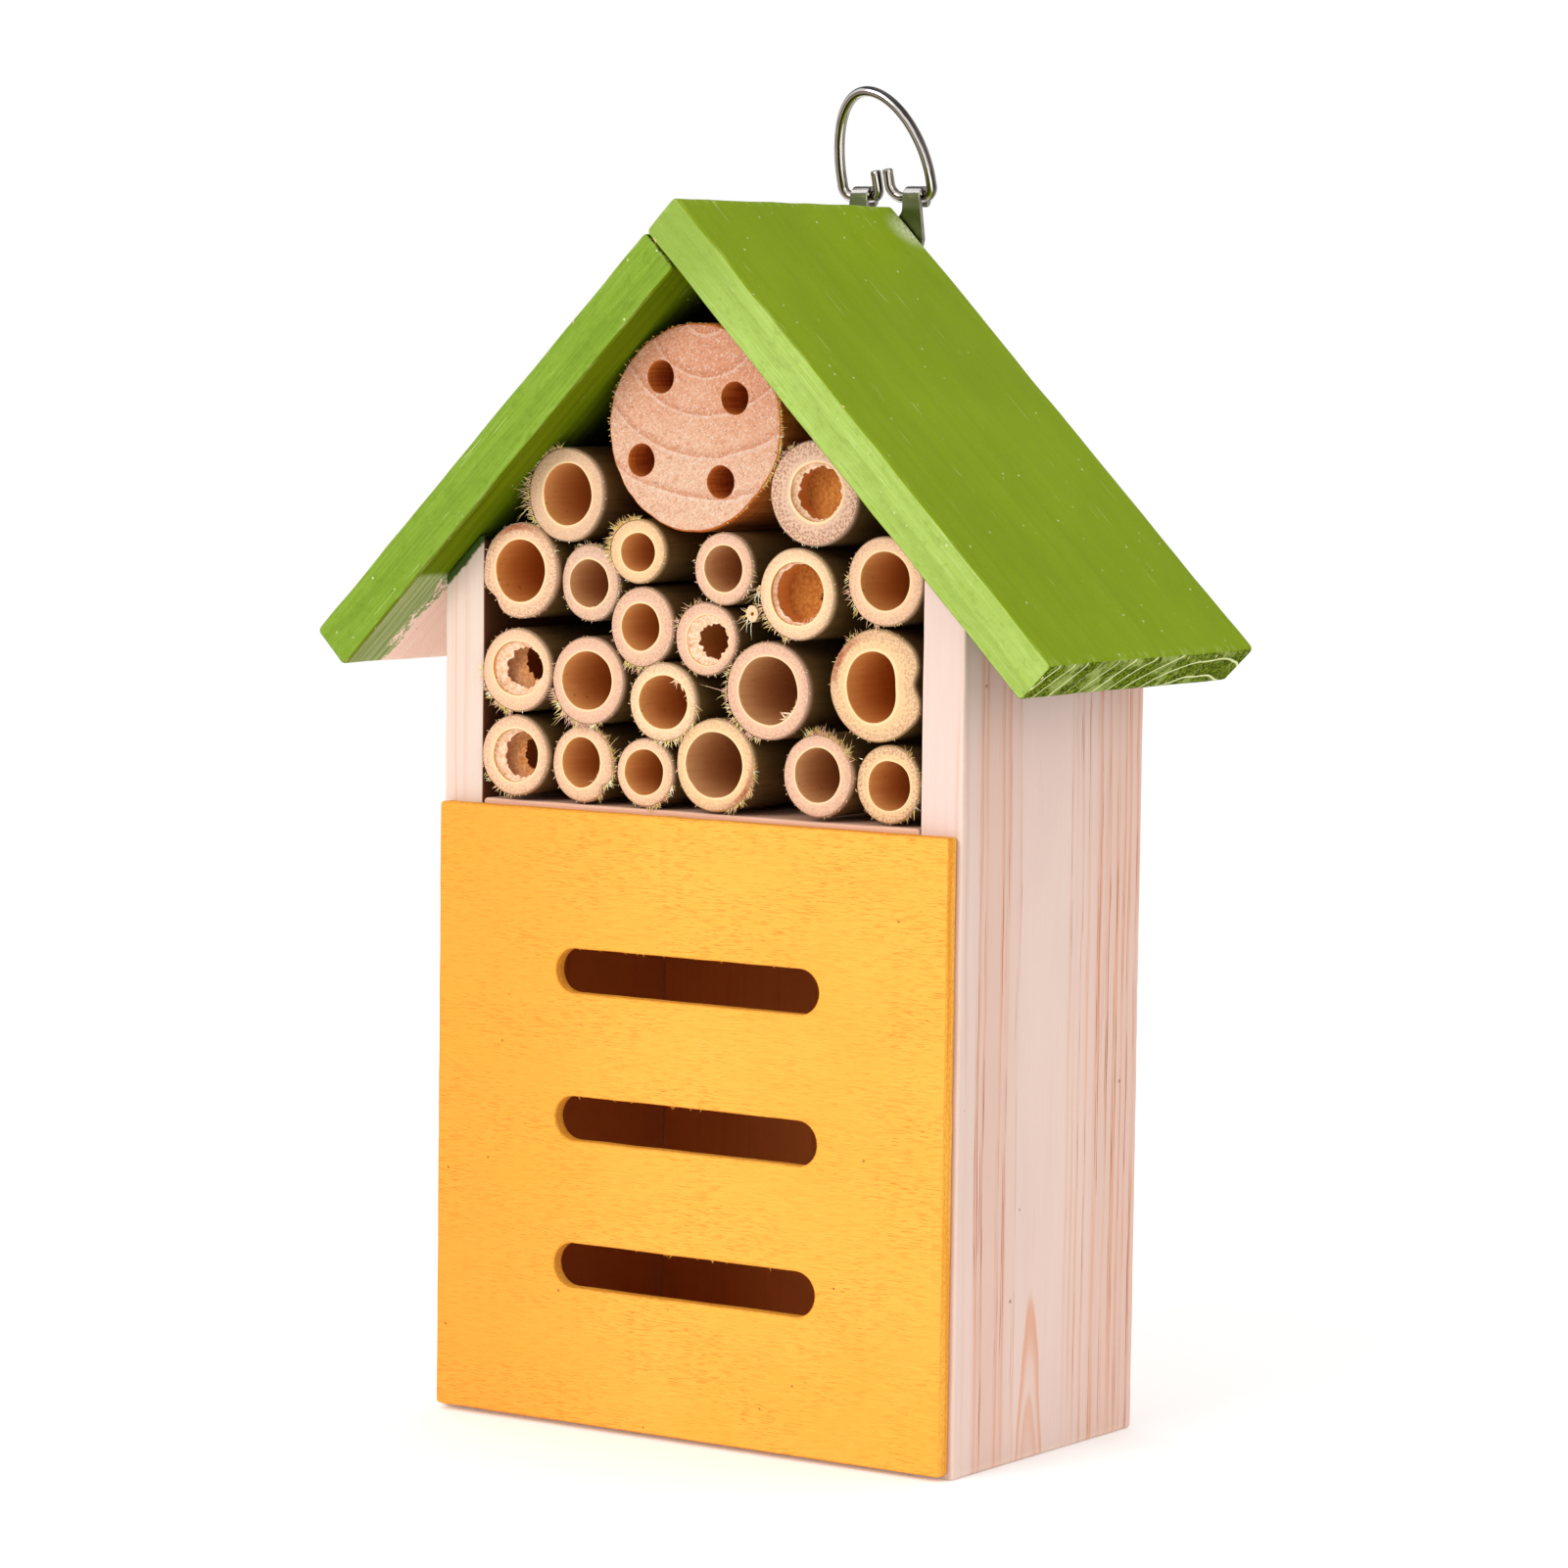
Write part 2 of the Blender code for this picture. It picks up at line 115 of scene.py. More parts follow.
def moved_inwards(loop, distance):
    """An anticlockwise loop made smaller by this distance, or a clockwise one made larger."""
    points = np.asarray(loop, float)
    along = np.roll(points, -1, 0) - np.roll(points, 1, 0)
    along /= np.linalg.norm(along, axis=1)[:, None]
    return points + distance * np.stack([-along[:, 1], along[:, 0]], 1)


def inside(loop, points):
    """Which points lie within a closed loop."""
    x, y = points[:, 0][:, None], points[:, 1][:, None]
    a, b = np.asarray(loop, float), np.roll(np.asarray(loop, float), -1, 0)
    spans = (a[:, 1] > y) != (b[:, 1] > y)
    rise = np.where(np.abs(b[:, 1] - a[:, 1]) < 1e-12, 1e-12, b[:, 1] - a[:, 1])
    crosses = spans & (x < (b[:, 0] - a[:, 0]) * (y - a[:, 1]) / rise + a[:, 0])
    return crosses.sum(1) % 2 == 1


def filling(loops, spacing, rng):
    """Loosely spaced points between an outline and its holes."""
    low, high = np.min(loops[0], 0), np.max(loops[0], 0)
    rows = np.arange(low[1], high[1], spacing * 0.87)
    found = []
    for k, v in enumerate(rows):
        for u in np.arange(low[0] + spacing * (k % 2) / 2, high[0], spacing):
            found.append((u + rng.uniform(-0.2, 0.2) * spacing, v + rng.uniform(-0.2, 0.2) * spacing))
    points = np.array(found)
    keep = inside(moved_inwards(loops[0], spacing * 0.5), points)
    for hole in loops[1:]:
        keep &= ~inside(moved_inwards(hole, spacing * 0.5), points)
    return points[keep]


def cap(solid, loops, rings, depth, spacing, slot, rng):
    """Fills the flat between the rings, which are the solid's own points at these loops."""
    flat, edges, owners = [], [], []
    for loop, ring in zip(loops, rings):
        first = len(flat)
        flat += [tuple(p) for p in loop]
        owners += ring
        edges += [(first + i, first + (i + 1) % len(loop)) for i in range(len(loop))]
    extra = filling(loops, spacing, rng)
    owners += solid.add([(u, v, depth) for u, v in extra])
    flat += [tuple(p) for p in extra]
    spots, _, triangles, origins, _, _ = delaunay_2d_cdt(
        [Vector(p) for p in flat], edges, [], INSIDE, 1e-9
    )
    middles = np.array([sum((spots[corner] for corner in t), Vector((0, 0))) / 3 for t in triangles])
    in_hole = np.zeros(len(triangles), bool)
    for hole in loops[1:]:
        in_hole |= inside(hole, middles)
    for triangle, dropped in zip(triangles, in_hole):
        if not dropped:
            solid.face([owners[origins[corner][0]] for corner in triangle], slot)


def extrusion(solid, outline, holes, length, rim, spacing, seed, stations=(), slots=(0, 1, 1), corners=None):
    """A solid of one outline (anticlockwise) with holes (clockwise), with rounded rims at both ends.

    Its points are (u, v, depth). A hole is (loop, its rim, its own depth or None if it goes through).
    slots: the material of the ends, the outside and the holes. corners: the outline's own worn points.
    """
    rng = random.Random(seed)
    steps = 3
    outline_wear = np.zeros(len(outline)) if corners is None else np.asarray(corners, float)
    walls = [(np.asarray(outline, float), rim, length, slots[1], outline_wear)]
    for loop, hole_rim, depth in holes:
        walls.append((np.asarray(loop, float), hole_rim, depth or length, slots[2], np.zeros(len(loop))))
    front, back = [], []
    for index, (loop, radius, depth, slot, wear) in enumerate(walls):
        through = index == 0 or depth == length
        margin = radius * 1.5
        rows = [(margin, 0.0, wear * 0), (radius, 0.0, wear * 0 + 0.5)]
        for k in range(1, steps + 1):
            angle = math.pi / 2 * (1 - k / steps)
            rows.append((radius * (1 - math.cos(angle)), radius * (1 - math.sin(angle)), wear * 0 + 1))
        inner = [s for s in stations if radius * 1.5 <= s <= depth - radius * 1.5]
        rows += [(0.0, s, wear) for s in inner]
        if through:
            for k in range(steps + 1):
                angle = math.pi / 2 * k / steps
                offset, sunk = radius * (1 - math.cos(angle)), radius * (1 - math.sin(angle))
                rows.append((offset, depth - sunk, wear * 0 + 1))
            rows.append((margin, depth, wear * 0))
        else:
            rows.append((0.0, depth, wear))
        rings = []
        for offset, w, worn in rows:
            ring = moved_inwards(loop, offset)
            rings.append(solid.add([(u, v, w) for u, v in ring], worn))
        for k, (first, second) in enumerate(zip(rings, rings[1:])):
            on_end = k < 2 or (through and k >= len(rings) - 2)
            solid.strip(first, second, slots[0] if on_end else slot)
        front.append((moved_inwards(loop, margin), rings[0]))
        if through:
            back.append((moved_inwards(loop, margin), rings[-1]))
        else:
            solid.face(rings[-1], slot)
    cap(solid, [l for l, _ in front], [r for _, r in front], 0.0, spacing, slots[0], rng)
    cap(solid, [l for l, _ in back], [r for _, r in back], length, spacing, slots[0], rng)


def rounded(points, radius, spacing):
    """A convex anticlockwise polygon with rounded corners: its points, and 1 at those on a corner."""
    loop, worn = [], []
    count = len(points)
    for i in range(count):
        before, here, after = (Vector(points[(i + k) % count]) for k in (-1, 0, 1))
        to_before, to_after = (before - here).normalized(), (after - here).normalized()
        half = to_before.angle(to_after) / 2
        reach = radius / math.tan(half)
        centre = here + (to_before + to_after).normalized() * radius / math.sin(half)
        start = here + to_before * reach - centre
        sweep = math.pi - 2 * half
        for k in range(5):
            arm = start.copy()
            arm.rotate(Matrix.Rotation(sweep * k / 4, 2))
            loop.append(centre + arm)
            worn.append(1.0)
        following = Vector(points[(i + 2) % count])
        next_half = (here - after).angle(following - after) / 2
        first = here + to_after * reach
        last = after - to_after * radius / math.tan(next_half)
        steps = max(2, round((last - first).length / spacing))
        near = min(0.3, 1.2 * radius / (last - first).length)
        shares = [near] + [near + (1 - 2 * near) * k / steps for k in range(1, steps)] + [1 - near]
        for share in shares:
            loop.append(first.lerp(last, share))
            worn.append(0.0)
    return [tuple(p) for p in loop], worn


def arc(x, y, radius, start, stop, steps):
    """Points round a centre, from one angle to another in degrees."""
    angles = [math.radians(start + (stop - start) * k / steps) for k in range(steps + 1)]
    return [(x + radius * math.cos(a), y + radius * math.sin(a)) for a in angles]


def placed(solid, front_y):
    """Turns a solid's (u, v, depth) into X, Z and Y, from this front plane back."""
    solid.points = [(u, front_y + w, v) for u, v, w in solid.points]


def shift_points(solid, amount, size, seed, stretch=(1, 1, 1)):
    """Moves every point a little, by smooth noise of this size."""
    moved = []
    for x, y, z in solid.points:
        place = Vector((x / stretch[0], y / stretch[1], z / stretch[2])) / size + Vector((seed, seed, seed))
        moved.append(Vector((x, y, z)) + amount * noise.noise_vector(place))
    solid.points = [tuple(p) for p in moved]


def piece(name, mesh, body, slot, *nodes, origin=(0, 0, 0)):
    obj = bpy.data.objects.new(name, mesh)
    bpy.context.scene.collection.objects.link(obj)
    obj.location = origin
    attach(obj, body)
    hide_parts(*nodes)
    return obj


def node_outline(node):
    """The X and Z outline of a node's front end, anticlockwise from its lowest angle."""
    low_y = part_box(node)[0].y
    front = {
        (round(v.co.x, 6), round(v.co.z, 6))
        for v in frame["nodes"][node].data.vertices
        if v.co.y < low_y + 0.1 * MM
    }
    middle = Vector((sum(x for x, _ in front), sum(z for _, z in front))) / len(front)
    return sorted(front, key=lambda p: math.atan2(p[1] - middle.y, p[0] - middle.x))


def fibre(solid, root, direction, length, width, bend, slot):
    """A thin tapering hair of three sides, bent towards a second direction, with its root closed."""
    direction, bend = Vector(direction).normalized(), Vector(bend)
    side = direction.orthogonal().normalized()
    other = direction.cross(side)
    rings = []
    for share in (0.0, 0.35, 0.7):
        centre = Vector(root) + direction * length * share + bend * length * share * share
        radius = width * (1 - 0.75 * share)
        thirds = (0, TURN / 3, 2 * TURN / 3)
        ring = [centre + radius * (side * math.cos(a) + other * math.sin(a)) for a in thirds]
        rings.append(solid.add(ring))
    tip = solid.add([Vector(root) + direction * length + bend * length])[0]
    solid.face(reversed(rings[0]), slot)
    solid.strip(rings[0], rings[1], slot)
    solid.strip(rings[1], rings[2], slot)
    for i in range(3):
        solid.face((rings[2][i], rings[2][(i + 1) % 3], tip), slot)


# ---------------------------------------------------------------- material nodes


def colour(red, green, blue):
    """A colour given as 0 to 255 on a screen, for a shader."""
    def linear(value):
        share = value / 255
        return share / 12.92 if share <= 0.04045 else ((share + 0.055) / 1.055) ** 2.4
    return (linear(red), linear(green), linear(blue), 1.0)


def darker(tone, share):
    return [channel * share for channel in tone]


class Paint:
    """A material's node tree. Each method adds a node and gives its output."""

    def __init__(self, name, roughness=0.6, **constants):
        self.material = bpy.data.materials.new(name)
        self.material.use_nodes = True
        self.tree = self.material.node_tree
        self.shader = self.tree.nodes["Principled BSDF"]
        self.shader.inputs["Roughness"].default_value = roughness
        for socket, value in constants.items():
            self.shader.inputs[socket.replace("_", " ")].default_value = value
        place = self.tree.nodes.new("ShaderNodeTexCoord").outputs["Object"]
        self.place = self.vector("MULTIPLY", place, (1000, 1000, 1000))  # in mm
        self.normal = None

    def join(self, socket, value):
        if isinstance(value, bpy.types.NodeSocket):
            self.tree.links.new(value, socket)
        else:
            socket.default_value = value

    def vector(self, operation, a, b):
        node = self.tree.nodes.new("ShaderNodeVectorMath")
        node.operation = operation
        self.join(node.inputs[0], a)
        self.join(node.inputs[1], b)
        return node.outputs["Vector"]

    def maths(self, operation, a, b=0.0, c=0.0, clamp=False):
        node = self.tree.nodes.new("ShaderNodeMath")
        node.operation = operation
        node.use_clamp = clamp
        for socket, value in zip(node.inputs, (a, b, c)):
            self.join(socket, value)
        return node.outputs["Value"]

    def times(self, a, b):
        return self.maths("MULTIPLY", a, b)

    def times_plus(self, a, b, c):
        return self.maths("MULTIPLY_ADD", a, b, c)

    def axes(self, vector):
        node = self.tree.nodes.new("ShaderNodeSeparateXYZ")
        self.join(node.inputs[0], vector)
        return [node.outputs[axis] for axis in "XYZ"]

    def combined(self, x, y, z):
        node = self.tree.nodes.new("ShaderNodeCombineXYZ")
        for socket, value in zip(node.inputs, (x, y, z)):
            self.join(socket, value)
        return node.outputs["Vector"]

    def turned(self, angle_y):
        """The place with X and Z turned about Y."""
        node = self.tree.nodes.new("ShaderNodeVectorRotate")
        node.rotation_type = "Y_AXIS"
        self.join(node.inputs["Vector"], self.place)
        node.inputs["Angle"].default_value = angle_y
        return node.outputs["Vector"]

    def noise(self, scale, place=None, detail=3.0, roughness=0.55, offset=0.0):
        """Noise from 0 to 1. scale: features for each mm, along X, Y and Z."""
        scale = scale if isinstance(scale, tuple) else (scale, scale, scale)
        moved = self.vector("MULTIPLY", place or self.place, scale)
        if offset:
            moved = self.vector("ADD", moved, (offset, offset * 1.7, offset * 2.3))
        node = self.tree.nodes.new("ShaderNodeTexNoise")
        self.join(node.inputs["Vector"], moved)
        node.inputs["Scale"].default_value = 1.0
        node.inputs["Detail"].default_value = detail
        node.inputs["Roughness"].default_value = roughness
        return node.outputs["Fac"]

    def cells(self, scale, place=None, randomness=1.0, flat=False):
        """Distance to the nearest of scattered points, so many to a mm. flat: on X and Z only."""
        node = self.tree.nodes.new("ShaderNodeTexVoronoi")
        if flat:
            x, _, z = self.axes(self.place)
            place = self.combined(x, z, 0.0)
            node.voronoi_dimensions = "2D"
        self.join(node.inputs["Vector"], self.vector("MULTIPLY", place or self.place, (scale, scale, scale)))
        node.inputs["Scale"].default_value = 1.0
        node.inputs["Randomness"].default_value = randomness
        return node.outputs["Distance"]

    def random(self, number):
        node = self.tree.nodes.new("ShaderNodeTexWhiteNoise")
        node.noise_dimensions = "1D"
        self.join(node.inputs["W"], number)
        return node.outputs["Value"]

    def steps(self, value, low, high, to_low=0.0, to_high=1.0, smooth=True):
        """value, from low to high, made to_low to to_high and held at the ends."""
        node = self.tree.nodes.new("ShaderNodeMapRange")
        node.interpolation_type = "SMOOTHSTEP" if smooth else "LINEAR"
        for socket, number in zip(node.inputs, (value, low, high, to_low, to_high)):
            self.join(socket, number)
        return node.outputs["Result"]

    def falls(self, value, low, high):
        """1 up to low, 0 from high."""
        return self.steps(value, low, high, 1.0, 0.0)

    def mix(self, share, first, second, blend="MIX"):
        node = self.tree.nodes.new("ShaderNodeMix")
        node.data_type = "RGBA"
        node.blend_type = blend
        self.join(node.inputs["Factor"], share)
        self.join(node.inputs["A"], first)
        self.join(node.inputs["B"], second)
        return node.outputs["Result"]

    def band(self, value, rise_from, rise_to, fall_from, fall_to):
        """0, then 1 between the rise and the fall, then 0."""
        return self.times(self.steps(value, rise_from, rise_to), self.falls(value, fall_from, fall_to))

    def tones(self, share, first, second):
        """From one screen colour to another."""
        return self.mix(share, colour(*first), colour(*second))

    def over(self, base, share, tone, strength=None):
        """A screen colour laid over a base."""
        if strength is not None:
            share = self.times(share, strength)
        return self.mix(share, base, colour(*tone))

    def value(self, name):
        node = self.tree.nodes.new("ShaderNodeAttribute")
        node.attribute_name = name
        return node.outputs["Fac"]

    def tone(self, name):
        node = self.tree.nodes.new("ShaderNodeAttribute")
        node.attribute_name = name
        return node.outputs["Color"]

    def facing(self):
        """The surface's own direction, in the piece's axes."""
        return self.axes(self.tree.nodes.new("ShaderNodeTexCoord").outputs["Normal"])

    def bump(self, height, distance_mm, strength=1.0):
        node = self.tree.nodes.new("ShaderNodeBump")
        node.inputs["Strength"].default_value = strength
        node.inputs["Distance"].default_value = distance_mm * MM
        self.join(node.inputs["Height"], height)
        if self.normal:
            self.join(node.inputs["Normal"], self.normal)
        self.normal = node.outputs["Normal"]

    def finish(self, base, roughness=None):
        self.join(self.shader.inputs["Base Color"], base)
        if roughness is not None:
            self.join(self.shader.inputs["Roughness"], roughness)
        if self.normal:
            self.join(self.shader.inputs["Normal"], self.normal)
        return self.material


def stretched(scale, along, along_scale):
    """One scale across the grain and another along it, for a noise."""
    return tuple(along_scale if axis == along else scale for axis in range(3))


def growth_rings(paint, place, along, pith, lean, spacing, wobble=1.6):
    """Year rings about a leaning pith: (0 to 1 across each ring, a random number for each ring).

    along: the axis the tree grew on. pith: its place on the other two, in mm.
    lean: how far it moves for each mm.
    """
    warp = paint.noise(stretched(0.05, along, 0.008), place, detail=2.0, offset=pith[0])
    across = [axis for axis in range(3) if axis != along]
    parts = paint.axes(place)
    squares = []
    for axis, centre, shift in zip(across, pith, lean):
        line = paint.times_plus(parts[along], -shift, -centre)
        offset = paint.maths("ADD", parts[axis], line)
        squares.append(paint.times(offset, offset))
    radius = paint.maths("SQRT", paint.maths("ADD", *squares))
    jitter = paint.noise(stretched(0.4, along, 0.03), place, detail=2.0)
    radius = paint.times_plus(warp, wobble * 2, radius)
    radius = paint.times_plus(jitter, 0.35, radius)
    count = paint.maths("DIVIDE", radius, spacing)
    return paint.maths("FRACT", count), paint.random(paint.maths("FLOOR", count))


def drawn_lines(paint, axis, lines):
    """Late wood at set places across a board: darkening slowly, then ending sharply.

    lines: (mm, width, depth).
    """
    wander = paint.noise((0.01, 0.01, 0.012), detail=1.0, offset=17.0)
    shiver = paint.noise((0.3, 0.3, 0.05), detail=2.0, offset=23.0)
    across = paint.times_plus(wander, 3.0, paint.axes(paint.place)[axis])
    across = paint.times_plus(shiver, 0.3, across)
    total = 0.0
    for place, width, depth in lines:
        off = paint.maths("SUBTRACT", across, place + 1.65)
        line = paint.times(paint.steps(off, -1.6 * width, 0.0), paint.steps(off, 0.0, 0.4, depth, 0.0))
        total = paint.maths("MAXIMUM", total, line)
    return total


def pine(name, along, pith, lean, spacing=1.9, pale=(238, 208, 192), red=(205, 142, 112), strength=1.0,
         green_top=None, inner=None, lines_at=(), flame=None, front_line=None):
    """Planed pine: pale pinkish wood, thin red-brown late wood, fine fibres and a few resin specks.

    green_top: (height, slope) in mm over which paint has run down. inner: the axis and direction of the face
    that looks into the chambers, which is painted with shade: warm below the shelf, dark brown above it.
    lines_at: extra lines across Y.
    flame: (Y, height of its tip).
    front_line: the X of one thin line.
    """
    paint = Paint(name, roughness=0.62, Specular_IOR_Level=0.3)
    phase, ring = growth_rings(paint, paint.place, along, pith, lean, spacing)
    late = paint.band(phase, 0.45, 0.93, 0.93, 1.0)
    bold = paint.steps(ring, 0.35, 1.0, 0.15, 1.0)
    where = paint.steps(paint.noise(stretched(0.035, along, 0.012), offset=3.0), 0.4, 0.62, 0.25, 1.0)
    lines = paint.times(paint.times(late, bold), where)
    grain = paint.noise(stretched(3.0, along, 0.05), detail=4.0)
    streak = paint.steps(paint.noise(stretched(1.6, along, 0.035), detail=2.0, offset=9.0), 0.62, 0.74)
    streak = paint.times(streak, paint.times(where, 0.5))
    cloud = paint.noise((0.02, 0.02, 0.01), offset=5.0)
    base = paint.tones(paint.steps(cloud, 0.3, 0.7), pale, darker(pale, 0.965))
    if lines_at:
        drawn = drawn_lines(paint, 1, lines_at)
        y = paint.axes(paint.place)[1]
        front = paint.band(y, -30.0, -25.0, -20.0, -11.0)
        back = paint.maths("ADD", front, paint.steps(y, 5.0, 27.0))
        base = paint.over(base, back, (218, 172, 150), 0.42)
        broken = paint.steps(paint.noise((0.1, 0.4, 0.02), detail=3.0, offset=41.0), 0.35, 0.6, 0.3, 1.0)
        drawn = paint.times(drawn, broken)
        base = paint.over(base, drawn, (218, 148, 112), 0.8)
        near = paint.steps(drawn, 0.02, 0.3)
        torn = paint.steps(paint.noise((0.5, 2.6, 0.03), detail=2.0, offset=33.0), 0.58, 0.64)
        torn = paint.times(torn, near)
        base = paint.over(base, torn, (164, 94, 66), 0.85)
    if front_line is not None:
        thin = drawn_lines(paint, 0, ((front_line, 0.35, 1.0),))
        base = paint.over(base, thin, (226, 160, 140), 0.5)
    if flame is not None:
        middle, tip = flame
        _, y, z = paint.axes(paint.place)
        off = paint.maths("SUBTRACT", paint.times_plus(paint.noise(0.05), 1.5, y), middle + 0.75)
        rise = paint.times_plus(paint.times(off, off), 1.3, z)
        top_edge = paint.falls(rise, tip - 2.0, tip + 3.0)
        outer = paint.times(top_edge, paint.steps(rise, tip - 16.0, tip - 4.0, 0.12, 1.0))
        lower_edge = paint.steps(rise, tip - 21.0, tip - 18.0, 0.7, 0.0)
        lower = paint.times(lower_edge, paint.steps(rise, tip - 34.0, tip - 22.0, 0.3, 1.0))
        tongue = paint.maths("MAXIMUM", outer, lower)
        base = paint.over(base, tongue, (220, 154, 120), 0.75)
    base = paint.over(base, lines, red, 0.62 * strength)
    base = paint.over(base, streak, (196, 122, 92), 0.8 * strength)
    base = paint.over(base, paint.steps(grain, 0.35, 0.7, 0.0, 0.12 * strength), (214, 172, 148))
    specks = paint.falls(paint.cells(0.06), 0.02, 0.035)
    base = paint.over(base, specks, (120, 62, 40), 0.6)
    worn = paint.times(paint.value("edge"), paint.noise(0.6, offset=2.0))
    base = paint.over(base, worn, (250, 224, 200), 0.35)
    if green_top is not None:
        height, slope = green_top
        parts = paint.axes(paint.place)
        under = paint.times_plus(parts[0], slope, parts[2])
        ragged = paint.times_plus(paint.noise((0.6, 0.5, 0.6), offset=4.0), 2.2, under)
        smear = paint.steps(ragged, height - 0.8, height + 0.1)
        base = paint.over(base, smear, (52, 74, 14))
    if inner is not None:
        axis, sign = inner
        # Painted shade on faces that look into the chambers: a warm tint below the shelf, dark brown above it.
        looking_in = paint.steps(paint.times(paint.facing()[axis], sign), 0.6, 0.9)
        height = paint.axes(paint.place)[2]
        upper = paint.steps(height, SHELF_MM - 2.0, SHELF_MM + 2.0)
        shade = paint.tones(upper, (255, 178, 92), (122, 78, 48))
        base = paint.mix(looking_in, base, paint.mix(1.0, base, shade, "MULTIPLY"))
    paint.bump(grain, 0.06)
    paint.bump(lines, 0.05)
    paint.bump(paint.noise(0.25), 0.12, 0.4)
    return paint.finish(base, paint.steps(grain, 0.2, 0.8, 0.56, 0.72))


def green_paint(name, side, pith_mm, side_tones, painted_to=None):
    """Green paint on pine, thicker on the wide faces than on the cut edges, worn and chipped at the corners.

    side: 1 for the right slope, -1 for the left. pith_mm: where the tree's heart was, in Y and square to the
    slope. painted_to: None, or the bare patch under the eave: from and to down the slope, and its front (mm).
    """
    paint = Paint(name, roughness=0.55, Specular_IOR_Level=0.02)
    angle = -side * SLOPE
    place = paint.turned(angle)  # X along the slope, Z out of the top face
    along, across, _ = paint.axes(place)
    down = paint.times(along, float(side))
    phase, ring = growth_rings(paint, place, 0, pith_mm, (0.02, 0.01), 4.7, 2.2)
    late = paint.band(phase, 0.55, 0.95, 0.95, 1.0)
    normal = paint.tree.nodes.new("ShaderNodeVectorRotate")
    normal.rotation_type = "Y_AXIS"
    normal.inputs["Angle"].default_value = angle
    source = paint.tree.nodes.new("ShaderNodeTexCoord").outputs["Normal"]
    paint.join(normal.inputs["Vector"], source)
    facing_down, facing_across, facing_out = paint.axes(normal.outputs["Vector"])
    on_top = paint.steps(facing_out, 0.55, 0.8)
    on_side = paint.steps(paint.maths("ABSOLUTE", facing_across), 0.6, 0.85)
    on_end = paint.steps(paint.maths("ABSOLUTE", facing_down), 0.6, 0.85)
    on_under = paint.falls(facing_out, -0.8, -0.55)

    brush = paint.noise((0.02, 1.4, 1.4), place, detail=4.0)
    hairs = paint.noise((0.04, 5.0, 5.0), place, detail=3.0, offset=2.0)
    cloud = paint.noise((0.03, 0.05, 0.05), place, detail=3.0, offset=7.0)
    base = paint.tones(paint.steps(cloud, 0.3, 0.7), (130, 153, 18), (123, 146, 13))
    base = paint.over(base, late, (104, 127, 8), 0.1)
    base = paint.over(base, paint.steps(brush, 0.45, 0.75, 0.0, 0.14), (148, 172, 40))
    dark, light, streak = (colour(*tone) for tone in side_tones)
    cut = paint.mix(paint.steps(hairs, 0.3, 0.7), dark, light)
    cut = paint.mix(paint.steps(cloud, 0.35, 0.7, 0.0, 0.6), cut, dark)
    cut = paint.over(cut, late, darker(side_tones[0], 0.86), 0.3)
    lines = paint.steps(paint.noise((0.015, 2.6, 2.6), place, detail=3.0, offset=12.0), 0.6, 0.72)
    cut = paint.mix(paint.times(lines, 0.3 if side > 0 else 0.16), cut, streak)
    mottle = paint.noise((0.35, 0.6, 0.6), place, detail=4.0, roughness=0.7, offset=19.0)
    cut = paint.over(cut, paint.steps(mottle, 0.5, 0.7, 0.0, 0.5), darker(side_tones[0], 0.88))
    cut = paint.mix(paint.steps(mottle, 0.45, 0.3, 0.0, 0.35), cut, light)
    if side > 0:
        near_ridge = paint.steps(down, RIDGE_MM + 4.0, RIDGE_MM + 40.0, 0.75, 0.0)
        cut = paint.over(cut, near_ridge, (134, 160, 62))
    base = paint.mix(on_side, base, cut)
    pores = paint.steps(paint.noise(1.6, place, detail=3.0, roughness=0.8, offset=4.0), 0.4, 0.6)
    end = paint.tones(pores, (34, 46, 0), (116, 136, 14))
    milky_end = paint.steps(paint.noise(0.16, place, detail=3.0, offset=27.0), 0.5, 0.66)
    end = paint.over(end, milky_end, (170, 186, 104), 0.6)
    pale_line = paint.band(phase, 0.84, 0.93, 0.95, 1.0)
    pale_line = paint.times(pale_line, paint.steps(ring, 0.1, 0.6, 0.3, 1.0))
    pale_line = paint.times(pale_line, paint.steps(down, RIDGE_MM + 20.0, RIDGE_MM + 60.0, 0.25, 1.0))
    end = paint.over(end, pale_line, (226, 232, 170))
    base = paint.mix(on_end, base, end)
    # Painted shade on the underside: a darker green than the top face, going nearly black further inside the
    # house.
    under = paint.tones(paint.steps(brush, 0.35, 0.65), (92, 112, 6), (110, 130, 12))
    within = paint.steps(across, -36.0, -22.0)
    under = paint.over(under, within, (30, 38, 2))
    base = paint.mix(on_under, base, under)

    if painted_to is not None:
        top, bottom, edge_y = painted_to
        ragged = paint.noise((0.22, 0.4, 0.4), place, detail=6.0, roughness=0.8, offset=6.0)
        reach = paint.times_plus(paint.steps(ragged, 0.3, 0.7), 8.0, across)
        streaks = paint.steps(paint.noise((0.03, 0.9, 0.9), place, detail=3.0, offset=15.0), 0.4, 0.6)
        eave = paint.times(paint.steps(down, top - 1.0, top + 1.0), on_under)
        thin = paint.times(paint.steps(across, -45.0, -43.0), eave)
        milky = paint.tones(streaks, (132, 150, 84), (164, 176, 122))
        milky = paint.over(milky, paint.steps(hairs, 0.6, 0.75), (196, 206, 164))
        base = paint.mix(thin, base, milky)
        bare = paint.times(paint.steps(reach, edge_y + 3.0, edge_y + 3.6), eave)
        bare = paint.times(bare, paint.falls(down, bottom - 1.0, bottom))
        wood = paint.tones(paint.steps(hairs, 0.3, 0.7), (255, 232, 218), (250, 208, 190))
        base = paint.mix(bare, base, wood)
